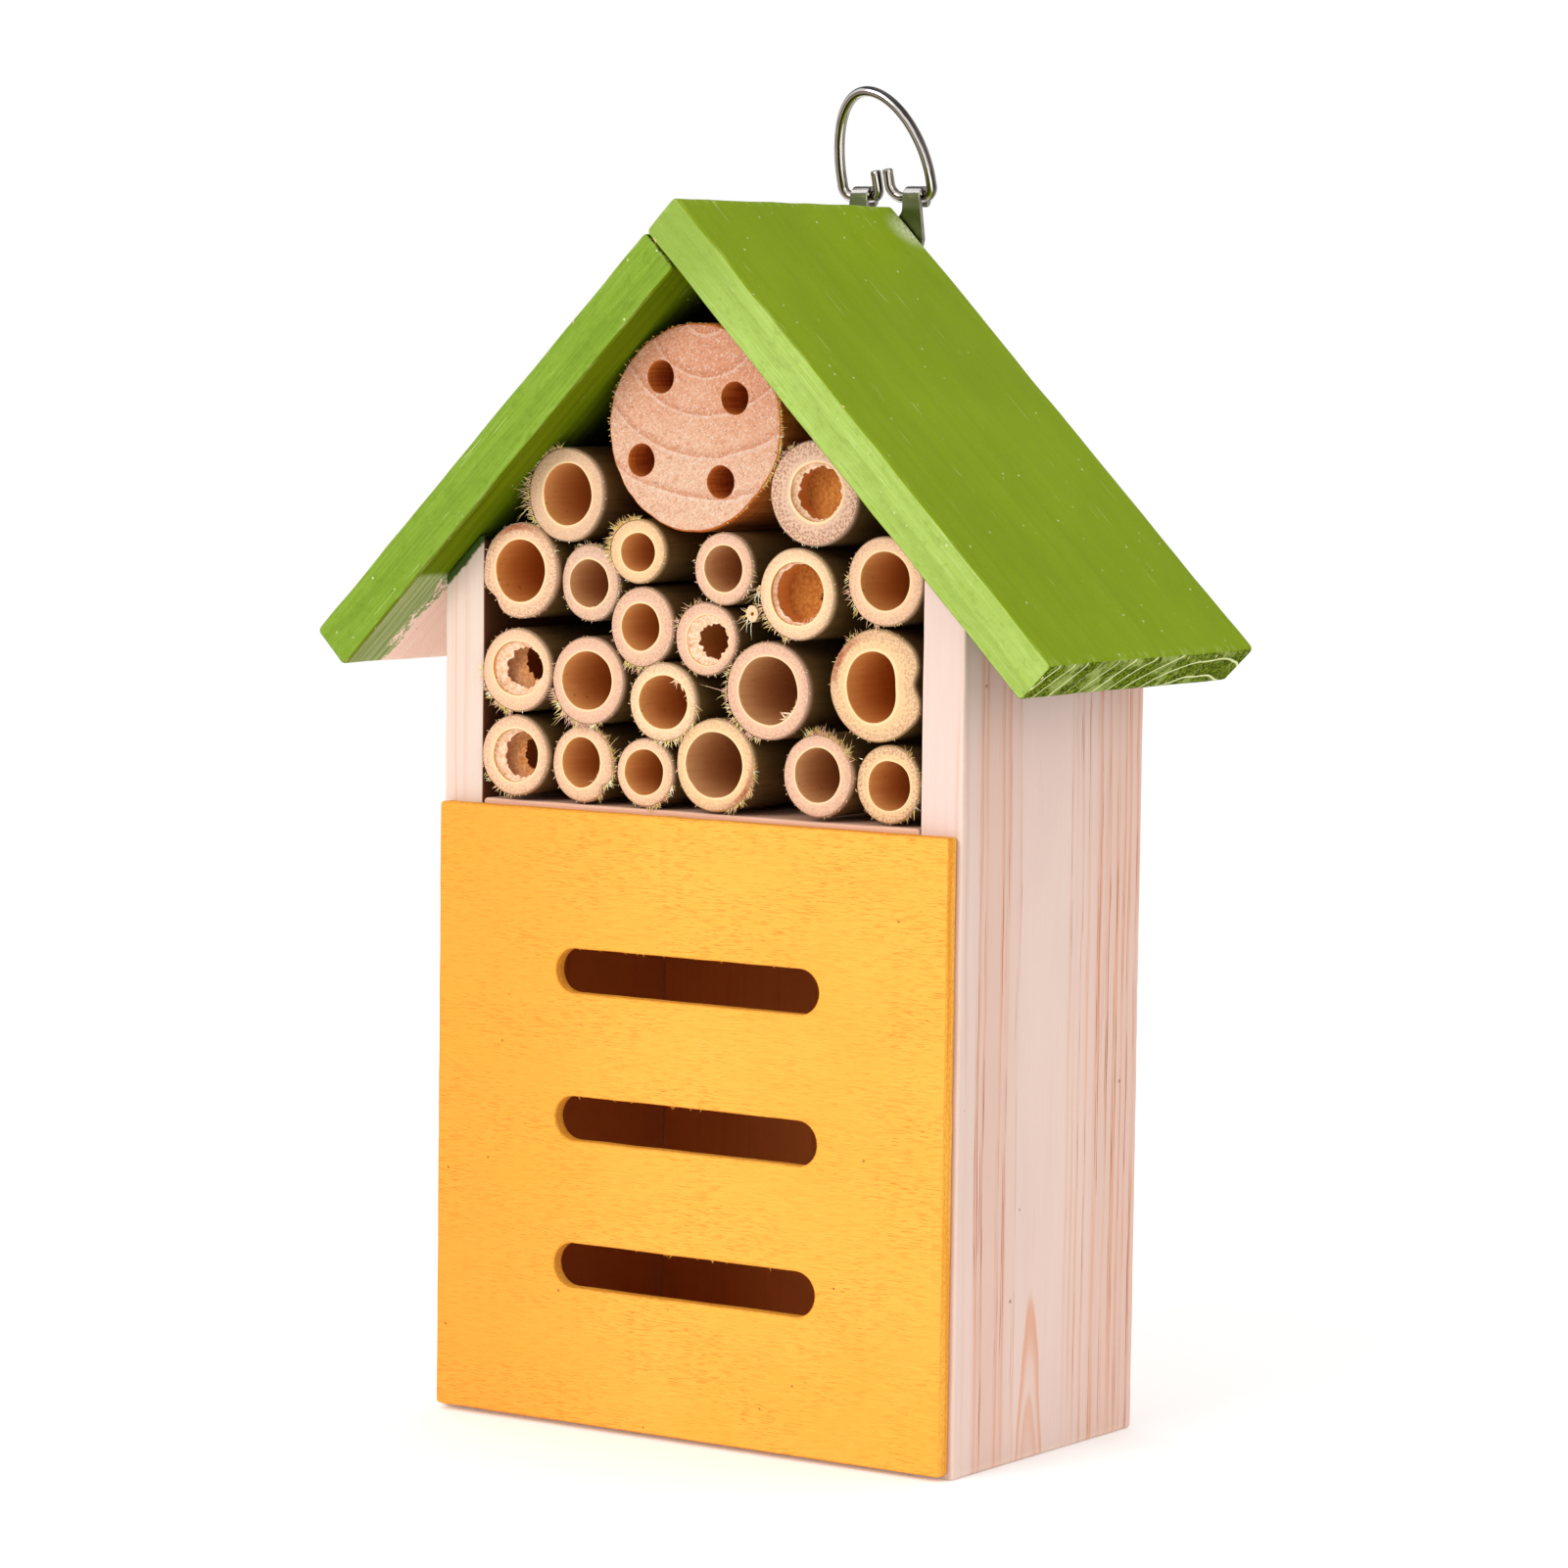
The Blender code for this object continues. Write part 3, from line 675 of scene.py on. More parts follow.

    # Painted highlight: a pale, speckled sheen on the top face near the ridge, towards the back.
    off_down = paint.times(paint.maths("SUBTRACT", down, RIDGE_MM + 8.0), 0.8)
    off_back = paint.times(paint.maths("SUBTRACT", across, 34.5), 0.6)
    far = paint.maths("SQRT", paint.times_plus(off_down, off_down, paint.times(off_back, off_back)))
    painted_sheen = paint.times(paint.steps(far, 0.0, 5.5, 0.9, 0.0), on_top)
    specks = paint.noise((1.2, 2.4, 2.4), place, 4.0, 0.75)
    painted_sheen = paint.times(painted_sheen, paint.steps(specks, 0.4, 0.58, 0.15, 1.0))
    base = paint.over(base, painted_sheen, (236, 238, 208))
    speck = paint.falls(paint.cells(0.3, place), 0.06, 0.1)
    speck = paint.times(speck, paint.steps(paint.noise(0.09, place, offset=8.0), 0.45, 0.6))
    base = paint.over(base, speck, (220, 226, 168), 0.75)
    scratch = paint.steps(paint.noise((0.07, 3.0, 3.0), place, detail=2.0, offset=21.0), 0.735, 0.76)
    base = paint.over(base, scratch, (222, 226, 160), 0.55)
    edge = paint.value("edge")
    wear = paint.steps(paint.noise((0.12, 0.7, 0.7), place, detail=4.0, offset=5.0), 0.45, 0.72)
    base = paint.over(base, paint.times(wear, edge), (190, 210, 120), 0.3)
    chip = paint.steps(paint.noise(0.45, place, detail=5.0, offset=31.0), 0.66, 0.7)
    chip = paint.times(chip, paint.steps(edge, 0.3, 0.9))
    base = paint.over(base, chip, (232, 206, 150))
    paint.bump(brush, 0.05)
    paint.bump(hairs, 0.035)
    paint.bump(pores, 0.12, 0.5)
    paint.bump(paint.times(chip, -1.0), 0.15)
    gloss = paint.mix(on_side, (0.4, 0.4, 0.4, 1), (0.6, 0.6, 0.6, 1))
    gloss = paint.mix(paint.maths("MAXIMUM", on_end, on_under), gloss, (0.7, 0.7, 0.7, 1))
    return paint.finish(base, gloss)


def stained_panel(name):
    """Yellow stain over a thin wood panel: short dark pores along X, more orange to the left."""
    paint = Paint(name, roughness=0.55, Specular_IOR_Level=0.25)
    across = paint.axes(paint.place)[0]
    cloud = paint.noise((0.02, 0.02, 0.035), detail=3.0)
    base = paint.tones(paint.steps(across, -62, 5), (249, 160, 52), (251, 181, 70))
    base = paint.over(base, paint.steps(cloud, 0.3, 0.7, 0.0, 0.35), (245, 164, 42))
    threads = paint.noise((0.22, 1.0, 5.5), detail=4.0, roughness=0.6)
    base = paint.over(base, paint.steps(threads, 0.3, 0.75, 0.0, 0.5), (240, 148, 36))
    pores = paint.steps(paint.noise((0.28, 1.0, 5.6), detail=1.0, offset=6.0), 0.6, 0.68)
    patches = paint.steps(paint.noise((0.05, 0.05, 0.08), offset=2.0), 0.35, 0.65, 0.35, 1.0)
    pores = paint.times(pores, patches)
    base = paint.over(base, pores, (222, 132, 30), 0.6)
    spots = paint.falls(paint.cells(0.12), 0.03, 0.045)
    base = paint.over(base, spots, (150, 84, 20), 0.7)
    rim = paint.times(paint.value("edge"), paint.steps(paint.noise(0.5), 0.2, 0.6))
    base = paint.over(base, rim, (196, 108, 26), 0.6)
    paint.bump(threads, 0.05)
    paint.bump(pores, -0.06)
    return paint.finish(base, paint.steps(threads, 0.2, 0.8, 0.5, 0.65))


def stained_edge(name):
    """The panel's cut edges: browner, with its layers and torn grain."""
    paint = Paint(name, roughness=0.75, Specular_IOR_Level=0.2)
    torn = paint.noise((1.2, 2.5, 1.2), detail=4.0)
    layer = paint.noise((0.02, 1.1, 0.02), detail=1.0, offset=3.0)
    base = paint.tones(paint.steps(layer, 0.35, 0.65), (238, 158, 44), (250, 184, 70))
    base = paint.over(base, paint.steps(torn, 0.35, 0.75, 0.0, 0.6), (206, 122, 34))
    paint.bump(torn, 0.15)
    return paint.finish(base)


def bamboo_face(name):
    """A sawn end: woody dots packed tighter towards a thin dark skin, and a pale ring round the bore."""
    paint = Paint(name, roughness=0.7, Specular_IOR_Level=0.2)
    wall = paint.value("wall")
    dotted = paint.value("dots")
    own = paint.tone("tone")
    large = paint.falls(paint.cells(1.2, randomness=0.8, flat=True), 0.2, 0.48)
    small = paint.falls(paint.cells(1.7, randomness=0.8, flat=True), 0.2, 0.5)
    outer = paint.steps(wall, 0.45, 0.75)
    within = paint.maths("SUBTRACT", 1.0, outer)
    dots = paint.maths("ADD", paint.times(large, within), paint.times(small, outer))
    dots = paint.times(dots, paint.steps(wall, 0.15, 0.6, 0.15, 1.0))
    cloud = paint.noise(0.12, detail=3.0, offset=3.0)
    saw = paint.noise((0.9, 1.0, 2.4), detail=3.0, offset=1.0)
    base = paint.over(own, paint.steps(cloud, 0.3, 0.7, 0.0, 0.3), (236, 190, 140))
    base = paint.over(base, paint.steps(wall, 0.3, 0.95, 0.0, 0.4), (206, 162, 134))
    stain = paint.times(paint.value("stain"), paint.steps(paint.noise(0.35, offset=8.0), 0.15, 0.4))
    base = paint.over(base, paint.times(stain, paint.steps(wall, 0.45, 0.7)), (168, 92, 52))
    base = paint.over(base, paint.times(dots, dotted), (158, 106, 84))
    base = paint.over(base, paint.steps(saw, 0.45, 0.8, 0.0, 0.3), (252, 226, 186))
    base = paint.over(base, paint.steps(wall, 0.06, 0.2, 0.75, 0.0), (250, 218, 168))
    ragged = paint.times_plus(paint.noise(0.9, offset=5.0), 0.12, wall)
    base = paint.over(base, paint.steps(ragged, 0.99, 1.05, 0.0, 0.75), (136, 116, 62))
    paint.bump(dots, -0.06)
    paint.bump(saw, 0.1)
    return paint.finish(base)


def bamboo_bore(name):
    """The smooth inner wall: warm brown, with long faint streaks and a few spots."""
    paint = Paint(name, roughness=0.45, Specular_IOR_Level=0.35)
    streaks = paint.noise((1.2, 0.06, 1.2), detail=3.0)
    spots = paint.steps(paint.noise(0.9, detail=2.0, offset=4.0), 0.66, 0.74)
    # Painted shade: the wall turns darker and more orange deeper in the bore.
    depth = paint.steps(paint.axes(paint.place)[1], 0.0, 22.0)
    base = paint.tones(paint.steps(streaks, 0.3, 0.7), (232, 178, 120), (218, 156, 96))
    base = paint.over(base, depth, (206, 134, 66))
    base = paint.mix(0.5, base, paint.tone("inner"))
    base = paint.over(base, spots, (110, 62, 26), 0.5)
    paint.bump(streaks, 0.04)
    return paint.finish(base)


def bamboo_skin(name):
    """The outside: grey-green to brown, with fine lines along the stem and darker blotches."""
    paint = Paint(name, roughness=0.5, Specular_IOR_Level=0.35)
    lines = paint.noise((2.2, 0.03, 2.2), detail=4.0)
    blotch = paint.noise((0.14, 0.04, 0.14), detail=3.0, offset=3.0)
    own = paint.tone("tone")
    # The skin's browns are partly its own colour and partly painted shade, darker than bamboo skin, for the gaps
    # between canes.
    base = paint.tones(paint.steps(blotch, 0.35, 0.7), (104, 78, 38), (72, 46, 22))
    base = paint.over(base, paint.steps(lines, 0.35, 0.7, 0.0, 0.5), (118, 86, 48))
    base = paint.mix(paint.steps(paint.axes(paint.place)[1], 0.3, 2.2, 0.45, 0.0), base, own)
    paint.bump(lines, 0.06)
    return paint.finish(base)


def bamboo_fibre(name):
    """Hairs left by the saw: straw to yellow-green, some nearly white."""
    paint = Paint(name, roughness=0.6, Specular_IOR_Level=0.3)
    kind = paint.noise(0.5, detail=1.0)
    base = paint.over(paint.tone("tone"), paint.steps(kind, 0.4, 0.6), (222, 200, 104))
    base = paint.over(base, paint.steps(kind, 0.58, 0.66), (252, 244, 214))
    return paint.finish(base)


def torn_pith(name):
    """The broken wall across a joint of the stem, and flakes: cream, papery and rough."""
    paint = Paint(name, roughness=0.8, Specular_IOR_Level=0.15)
    flakes = paint.noise((1.4, 0.8, 1.4), detail=4.0)
    # Painted shade: walls and flakes deeper in the bore are darker and more orange.
    depth = paint.steps(paint.axes(paint.place)[1], 1.5, 6.5)
    base = paint.tones(paint.steps(flakes, 0.3, 0.7), (250, 222, 190), (226, 172, 130))
    deep = paint.tones(paint.steps(flakes, 0.35, 0.65), (214, 142, 66), (188, 112, 46))
    base = paint.mix(depth, base, deep)
    paint.bump(flakes, 0.25)
    return paint.finish(base)


def log_face(name):
    """Rough-sawn end grain: salmon above, peach below, fine grains, and the curve of a year ring."""
    paint = Paint(name, roughness=0.85, Specular_IOR_Level=0.15)
    x, _, z = paint.axes(paint.place)
    grains = paint.noise((2.3, 2.3, 2.3), detail=4.0, roughness=0.8)
    coarse = paint.noise((0.6, 0.6, 0.6), detail=4.0, offset=5.0)
    tilt = paint.times_plus(x, 0.12, z)
    shade = paint.times_plus(paint.noise(0.07, offset=2.0), 14.0, tilt)
    base = paint.tones(paint.steps(shade, -6.0, 24.0), (248, 200, 166), (240, 166, 128))
    phase, _ = growth_rings(paint, paint.place, 1, (3.0, 26.0), (0.0, 0.0), 8.5, 1.5)
    smile = paint.band(phase, 0.75, 0.97, 0.97, 1.0)
    base = paint.over(base, smile, (214, 128, 88), 0.55)
    after = paint.steps(phase, 0.0, 0.1, 0.6, 0.0)
    base = paint.over(base, after, (252, 218, 196))
    base = paint.over(base, paint.steps(coarse, 0.55, 0.75, 0.0, 0.4), (214, 132, 92))
    saw = paint.noise((0.7, 1.0, 3.0), paint.turned(0.5), detail=2.0, offset=3.0)
    base = paint.over(base, paint.steps(saw, 0.5, 0.7, 0.0, 0.35), (206, 124, 88))
    base = paint.over(base, paint.steps(grains, 0.54, 0.66, 0.0, 0.6), (200, 112, 78))
    base = paint.over(base, paint.steps(grains, 0.46, 0.36, 0.0, 0.8), (255, 244, 230))
    chips = paint.steps(paint.noise(1.5, detail=2.0, offset=14.0), 0.68, 0.72)
    base = paint.over(base, chips, (120, 66, 48), 0.7)
    paint.bump(grains, 0.5)
    paint.bump(coarse, 0.35)
    return paint.finish(base)


def log_side(name):
    """The log's peeled outside and the walls of its drilled holes: brown with fine turned lines."""
    paint = Paint(name, roughness=0.75, Specular_IOR_Level=0.2)
    lines = paint.noise((1.6, 0.08, 1.6), detail=3.0)
    rings = paint.noise((0.15, 2.2, 0.15), detail=2.0, offset=3.0)
    base = paint.tones(paint.steps(lines, 0.3, 0.7), (206, 114, 44), (168, 80, 24))
    base = paint.over(base, paint.steps(rings, 0.4, 0.7, 0.0, 0.4), (224, 134, 60))
    paint.bump(lines, 0.08)
    paint.bump(rings, 0.08)
    return paint.finish(base)


def steel(name, tint, roughness, painted_reflections=(), painted_roof_reflection=0.0, painted_recess_shade=0.0):
    """Nickel-plated steel: bright, darker on top, with faint drawing lines.

    painted_reflections: painted highlights and reflections along the front of a wire, from its inner side (-1) to
    its outer
    side (1): from, to, colour, strength, and whether it is weaker on the left.
    olive: how strongly the front is tinted green, as a painted reflection of the green roof. painted_recess_shade:
    how dark the painted shade in the recess of a screw is.
    """
    paint = Paint(name, roughness=roughness, Metallic=1.0)
    cloud = paint.noise(0.25, detail=3.0)
    fine = paint.noise((4.0, 4.0, 0.6), detail=3.0, offset=3.0)
    base = paint.tones(paint.steps(cloud, 0.35, 0.7), tint, darker(tint, 0.86))
    pits = paint.steps(paint.noise(1.6, detail=2.0, offset=8.0), 0.7, 0.78)
    base = paint.over(base, pits, (104, 96, 84), 0.3)
    left, front, up = paint.facing()
    # Painted reflection: faces turned upwards are darkened, as if mirroring a dark ceiling.
    base = paint.over(base, paint.steps(up, 0.35, 0.75, 0.0, 0.85), (44, 41, 42))
    forward = paint.falls(front, -0.4, 0.0)
    # Painted highlights and painted reflections in stripes along the front of the wire.
    if painted_reflections:
        across = paint.times_plus(paint.noise(0.3, detail=1.0, offset=12.0), 0.3, paint.value("outward"))
        across = paint.maths("SUBTRACT", across, 0.15)
        for start, end, tone, strength, fades in painted_reflections:
            band = paint.band(across, start - 0.1, start + 0.05, end - 0.05, end + 0.1)
            band = paint.times(band, paint.times(forward, strength))
            if fades:
                band = paint.times(band, paint.steps(left, -0.6, 0.0, 0.25, 1.0))
            base = paint.over(base, band, tone)
    else:
        glint = paint.times_plus(front, -0.8, paint.times(up, 0.6))
        base = paint.over(base, paint.steps(glint, 0.96, 0.99), (255, 250, 248))
    # Painted reflection: faces turned to the front take the green of the roof.
    base = paint.over(base, paint.falls(front, -0.98, -0.9), (88, 98, 30), painted_roof_reflection)
    # Painted shade in the cross recess of a screw.
    if painted_recess_shade:
        base = paint.over(base, paint.value("edge"), (36, 33, 30), painted_recess_shade)
    paint.bump(fine, 0.006)
    cloudy = paint.steps(cloud, 0.3, 0.7, roughness, roughness * 1.3)
    dull = paint.maths("ADD", cloudy, paint.steps(fine, 0.4, 0.8, 0.0, 0.03))
    return paint.finish(base, dull)


# ---------------------------------------------------------------- the pine house


def board(node, look, material, slot, corner_mm, rim_mm, seed, rough_mm=0.12, spacing_mm=4.0):
    """A plain board rebuilt from the outline of its node, with rounded, slightly uneven edges."""
    low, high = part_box(node)
    outline, corners = rounded(node_outline(node), corner_mm * MM, spacing_mm * MM)
    solid = Solid()
    length = high.y - low.y
    count = max(2, round(length / (spacing_mm * MM)))
    rim = rim_mm * MM
    stations = [rim * 1.6] + [length * k / count for k in range(1, count)] + [length - rim * 1.6]
    slots = (0, 0, 0)
    extrusion(solid, outline, [], length, rim, spacing_mm * MM, seed, stations, slots, corners)
    placed(solid, low.y)
    shift_points(solid, rough_mm * MM, 0.009, seed)
    solid.points = [(x, y, max(z, low.z)) for x, y, z in solid.points]
    name = f"{node}_{look}"
    return piece(name, solid.mesh(name, [material]), "house", slot, node)


def house():
    lines = ((-27.4, 1.2, 0.8), (-25.6, 1.0, 0.7), (-19.5, 0.9, 0.75), (-17.0, 1.2, 0.8), (-13.0, 1.4, 0.3),
             (7.0, 0.9, 0.4), (9.0, 0.9, 0.55), (11.0, 1.0, 0.7), (14.0, 1.0, 0.65), (18.5, 1.6, 1.0),
             (22.0, 1.0, 0.5), (25.5, 1.2, 0.85), (28.0, 0.9, 0.85), (30.0, 0.8, 0.9), (33.0, 0.9, 0.8))
    right = pine("pine_right", 2, (25.0, -6.0), (0.0095, 0.0), strength=0.6, pale=(231, 204, 192),
                 inner=(0, -1.0), lines_at=lines, flame=(-6.0, 33.0))
    low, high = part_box("side_panel_left")
    line_x = low.x / MM + 2.9
    green_from = (high.z / MM - 1.0 - high.x / MM, -1.0)
    left = pine("pine_left", 2, (-22.0, 9.0), (-0.006, 0.004), 2.3, (228, 205, 189), strength=0.45,
                green_top=green_from, inner=(0, 1.0), front_line=line_x)
    board("side_panel_right", "pine", right, "pine", 0.8, 0.5, 1)
    board("side_panel_left", "pine", left, "pine", 0.8, 0.5, 2)
    level = pine("pine_level", 0, (-30.0, 100.0), (0.01, 0.0), pale=(230, 178, 150))
    board("shelf_board", "pine", level, "pine", 0.8, 0.5, 3)
    floor = pine("pine_bottom", 0, (20.0, -24.0), (0.01, 0.0), pale=(238, 200, 180))
    board("bottom_board", "pine", floor, "pine", 0.8, 0.5, 4)
    thin = pine("pine_back", 2, (12.0, 92.0), (0.02, -0.01), spacing=2.6, pale=(236, 202, 180),
                inner=(1, -1.0))
    board("back_panel", "pine", thin, "pine", 0.6, 0.35, 5, rough_mm=0.08)


def roof():
    """Two painted boards. The left one's underside is painted only near the front."""
    light_cuts = ((154, 180, 78), (178, 204, 108), (212, 226, 164))
    dark_cuts = ((118, 148, 42), (138, 168, 62), (176, 198, 112))
    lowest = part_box("roof_board_left")[0]
    eave = -(lowest.x + lowest.z) / MM * math.cos(SLOPE)
    right = green_paint("green_right", 1, (22.0, 145.0), light_cuts)
    low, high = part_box("side_panel_left")
    wall = -(2 * low.x + high.z - high.x) / MM * math.cos(SLOPE)
    left = green_paint("green_left", -1, (5.0, 150.0), dark_cuts, (wall, eave - 0.6, -32.0))
    board("roof_board_right", "painted", right, "green_paint", 1.1, 0.65, 11, 0.18, 3.0)
    board("roof_board_left", "painted", left, "green_paint", 1.1, 0.65, 9, 0.18, 3.0)


def slot_loop(left, right, low, high, steps):
    """A clockwise slot with round ends."""
    radius, middle = (high - low) / 2, (high + low) / 2
    bottom = np.linspace(left + radius, right - radius, 40)[1:-1]
    points = arc(left + radius, middle, radius, 90, 270, steps) + [(x, low) for x in bottom]
    points += arc(right - radius, middle, radius, -90, 90, steps) + [(x, high) for x in bottom[::-1]]
    return points[::-1]


def slot_bounds(opening):
    """The left, right, bottom and top of the panel's slot round an opening of the record."""
    (_, _, bottom), (_, _, top) = opening["box_m"]
    low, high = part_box("front_panel")
    near = [
        v.co
        for v in frame["nodes"]["front_panel"].data.vertices
        if abs(v.co.z - (bottom + top) / 2) < (top - bottom) and low.x + MM < v.co.x < high.x - MM
    ]
    return min(c.x for c in near), max(c.x for c in near), min(c.z for c in near), max(c.z for c in near)


def front_panel():
    """A stained panel with three slots, whose upper edges keep a few splinters."""
    low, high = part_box("front_panel")
    rng = random.Random(20)
    square = [(low.x, low.z + 0.25 * MM), (high.x, low.z), (high.x, high.z), (low.x, high.z)]
    outline, corners = rounded(square, 0.8 * MM, 3 * MM)
    openings = [o for o in frame["record"]["physics"]["openings"] if o["name"].startswith("slot")]
    slots = [slot_bounds(opening) for opening in openings]
    holes = [(slot_loop(*slot, 14), 0.25 * MM, None) for slot in slots]
    solid = Solid()
    depth = high.y - low.y
    stations = [depth * k / 4 for k in range(1, 4)]
    extrusion(solid, outline, holes, depth, 0.3 * MM, 3 * MM, 21, stations, (0, 1, 1), corners)
    placed(solid, low.y)
    shift_points(solid, 0.08 * MM, 0.006, 22)
    solid.points = [(x, y, max(z, low.z)) for x, y, z in solid.points]
    for left, right, _, top in slots:
        for _ in range(9):
            x = rng.uniform(left + 6 * MM, right - 6 * MM)
            root = (x, low.y + 0.1 * MM, top + 0.05 * MM)
            lean = (rng.uniform(-1.2, 1.2), rng.uniform(-0.3, 0.3), -1)
            fibre(solid, root, lean, rng.uniform(0.3, 1.0) * MM, 0.09 * MM, (rng.uniform(-0.4, 0.4), 0, 0), 1)
    materials = [stained_panel("yellow_stain"), stained_edge("yellow_edge")]
    name = "front_panel_stained"
    return piece(name, solid.mesh(name, materials), "house", "yellow_panel", "front_panel")


# ---------------------------------------------------------------- the filling

# Faces of the canes, as the colours that they share
FACE_TONES = {
    "peach": (234, 190, 154),
    "pink": (224, 178, 152),
    "grey": (214, 176, 152),
    "tan": (218, 180, 146),
    "cream": (240, 202, 160),
    "yellow": (234, 192, 142),
}
BORE_TONES = {"brown": (222, 148, 72), "orange": (218, 126, 22), "grey": (196, 144, 100)}

# Each cane, in mm: width, height; the bore's shift in X and Z, its width and height; the face's tone and its
# dots; the bore's tone; dents in the outside (degrees, spread, depth); hairs (from, to, how many, how long).
CANES = (
    ((19.6, 19.8), (0.3, 0.0, 12.3, 13.0), "tan", 0.2, "brown", (),
     ((95, 225, 110, 1.6), (165, 200, 24, 2.8))),
    ((21.4, 21.4), (0.5, 0.2, 12.2, 11.8), "grey", 0.85, "orange", (), ((118, 150, 26, 1.2),)),
    ((19.4, 20.2), (0.1, 0.0, 12.8, 12.9), "peach", 0.5, "orange",
     ((222, 13, 1.0), (196, 10, -0.3)), ((20, 30, 3, 1.4),)),
    ((15.0, 16.2), (-0.2, -0.1, 10.0, 9.8), "grey", 0.35, "grey", (),
     ((60, 120, 36, 0.9), (-20, 40, 30, 1.0))),
    ((14.2, 13.3), (0.2, -0.1, 8.5, 7.9), "yellow", 0.2, "brown", (),
     ((85, 205, 150, 1.3), (120, 150, 22, 1.9))),
    ((15.9, 16.8), (-0.3, 0.0, 9.3, 9.7), "pink", 0.35, "brown", (), ((238, 305, 70, 1.6),)),
    ((14.9, 15.0), (0.0, 0.0, 9.4, 9.4), "pink", 0.3, "grey", (), ((-50, 10, 26, 0.9),)),
    ((15.6, 15.2), (0.6, -0.2, 10.6, 10.4), "pink", 0.3, "brown", (),
     ((95, 165, 30, 1.3), (-20, 20, 12, 0.8))),
    ((18.5, 18.9), (0.1, 0.2, 12.8, 12.9), "cream", 0.25, "orange", (), ((195, 262, 46, 1.3),)),
    ((18.2, 18.2), (0.0, 0.1, 11.6, 11.8), "peach", 0.3, "brown", (), ((160, 262, 44, 1.4),)),
    ((18.0, 17.6), (0.4, 0.4, 12.8, 11.4), "peach", 0.2, "orange", (), ((165, 262, 90, 1.3),)),
    ((18.5, 18.4), (-0.2, 0.0, 12.6, 12.2), "pink", 0.2, "brown", (),
     ((192, 292, 120, 1.5), (225, 240, 8, 2.8))),
    ((17.2, 16.5), (0.1, 0.1, 12.3, 11.0), "cream", 0.35, "brown", (),
     ((258, 335, 70, 1.4), (-12, 2, 4, 2.6))),
    ((20.8, 20.2), (0.2, 0.1, 14.7, 13.9), "pink", 0.3, "grey", (),
     ((150, 262, 110, 1.2), (183, 187, 2, 5.0))),
    ((22.2, 22.9), (-0.6, -0.2, 12.6, 14.4), "yellow", 0.45, "orange",
     ((4, 15, 2.0), (40, 16, -0.4), (-30, 15, -0.5)), ((108, 132, 16, 1.5),)),
    ((17.4, 17.1), (0.2, 0.0, 11.6, 11.2), "peach", 0.35, "brown", (), ((185, 265, 26, 0.8),)),
    ((15.7, 16.2), (-0.3, 0.3, 9.6, 10.4), "peach", 0.3, "brown",
     ((-42, 9, 1.0), (-14, 9, -0.3)), ((-60, 62, 170, 1.3), (-10, 40, 8, 2.8))),
    ((14.7, 14.4), (-0.3, 0.1, 9.8, 9.4), "peach", 0.25, "brown", (), ((-85, -15, 60, 1.1),)),
    ((19.6, 19.4), (-0.1, 0.1, 13.9, 13.5), "yellow", 0.3, "grey", (),
     ((-72, 8, 90, 1.3), (-30, -24, 2, 3.2))),
    ((16.9, 17.0), (0.0, 0.1, 10.8, 11.1), "pink", 0.3, "grey", (), ((28, 112, 150, 2.0), (20, 50, 10, 3.0))),
    ((15.6, 15.9), (0.3, -0.2, 10.0, 10.1), "yellow", 0.6, "brown", (),
     ((20, 62, 12, 1.4), (-60, -30, 8, 1.4))),
)

# Broken walls across the stem: the cane, how deep, the hole's shift in X and Z, its width and height,
# how jagged
JOINTS = (
    (2, 0.3, 0.2, 0.1, 10.9, 10.6, 0.13),
    (2, 6.0, 2.6, -1.6, 2.2, 3.0, 0.3),
    (8, 0.4, 0.5, -0.1, 7.2, 7.4, 0.18),
    (9, 0.5, 0.2, 0.0, 12.0, 12.1, 0.05),
    (9, 7.0, 1.9, -0.8, 2.4, 3.6, 0.3),
    (11, 0.9, 0.9, 0.2, 9.6, 8.8, 0.16),
    (11, 4.0, 1.6, 0.9, 5.6, 6.4, 0.24),
    (16, 0.8, 0.7, 0.0, 9.2, 9.4, 0.10),
    (16, 4.2, 1.9, 0.3, 6.0, 7.4, 0.16),
)
CANE_POINTS = 84
STAINS = {3: 1.7, 19: -0.6, 15: 2.6}  # a brown patch on the outside: the cane and the angle
# Torn flakes inside a bore: the cane, from and to (degrees), how many, how deep and how long (mm)
BITS = ((13, -8, 60, 16, 0.8, 2.0), (14, -55, -20, 16, 0.2, 1.7), (9, -110, -30, 26, 0.5, 1.3),
        (2, 150, 300, 34, 0.2, 0.8), (11, 200, 290, 16, 0.6, 1.5), (17, -60, 0, 6, 0.5, 1.2),
        (16, 150, 250, 14, 0.4, 1.1), (8, 190, 330, 26, 0.4, 1.0), (4, -80, -30, 4, 0.3, 0.7))


def oval(width, height, count, uneven, seed, dents=(), shift=(0, 0)):
    """An anticlockwise hand-made round. dents: (degrees, spread in degrees, depth in mm)."""
    points = []
    for i in range(count):
        angle = TURN * i / count
        across, up = math.cos(angle), math.sin(angle)
        radius = 1 / math.hypot(across / (width / 2), up / (height / 2))
        radius *= 1 + uneven * noise.noise(Vector((across * 1.2 + seed, up * 1.2, seed * 0.7)))
        for middle, spread, depth in dents:
            off = (math.degrees(angle) - middle + 180) % 360 - 180
            radius -= depth * MM * math.exp(-((off / spread) ** 2))
        points.append((shift[0] + radius * across, shift[1] + radius * up))
    return points


def front_of(node):
    """The middle of a node's front face, its length and its width."""
    low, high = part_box(node)
    return Vector(((low.x + high.x) / 2, low.y, (low.z + high.z) / 2)), high.y - low.y, high.x - low.x


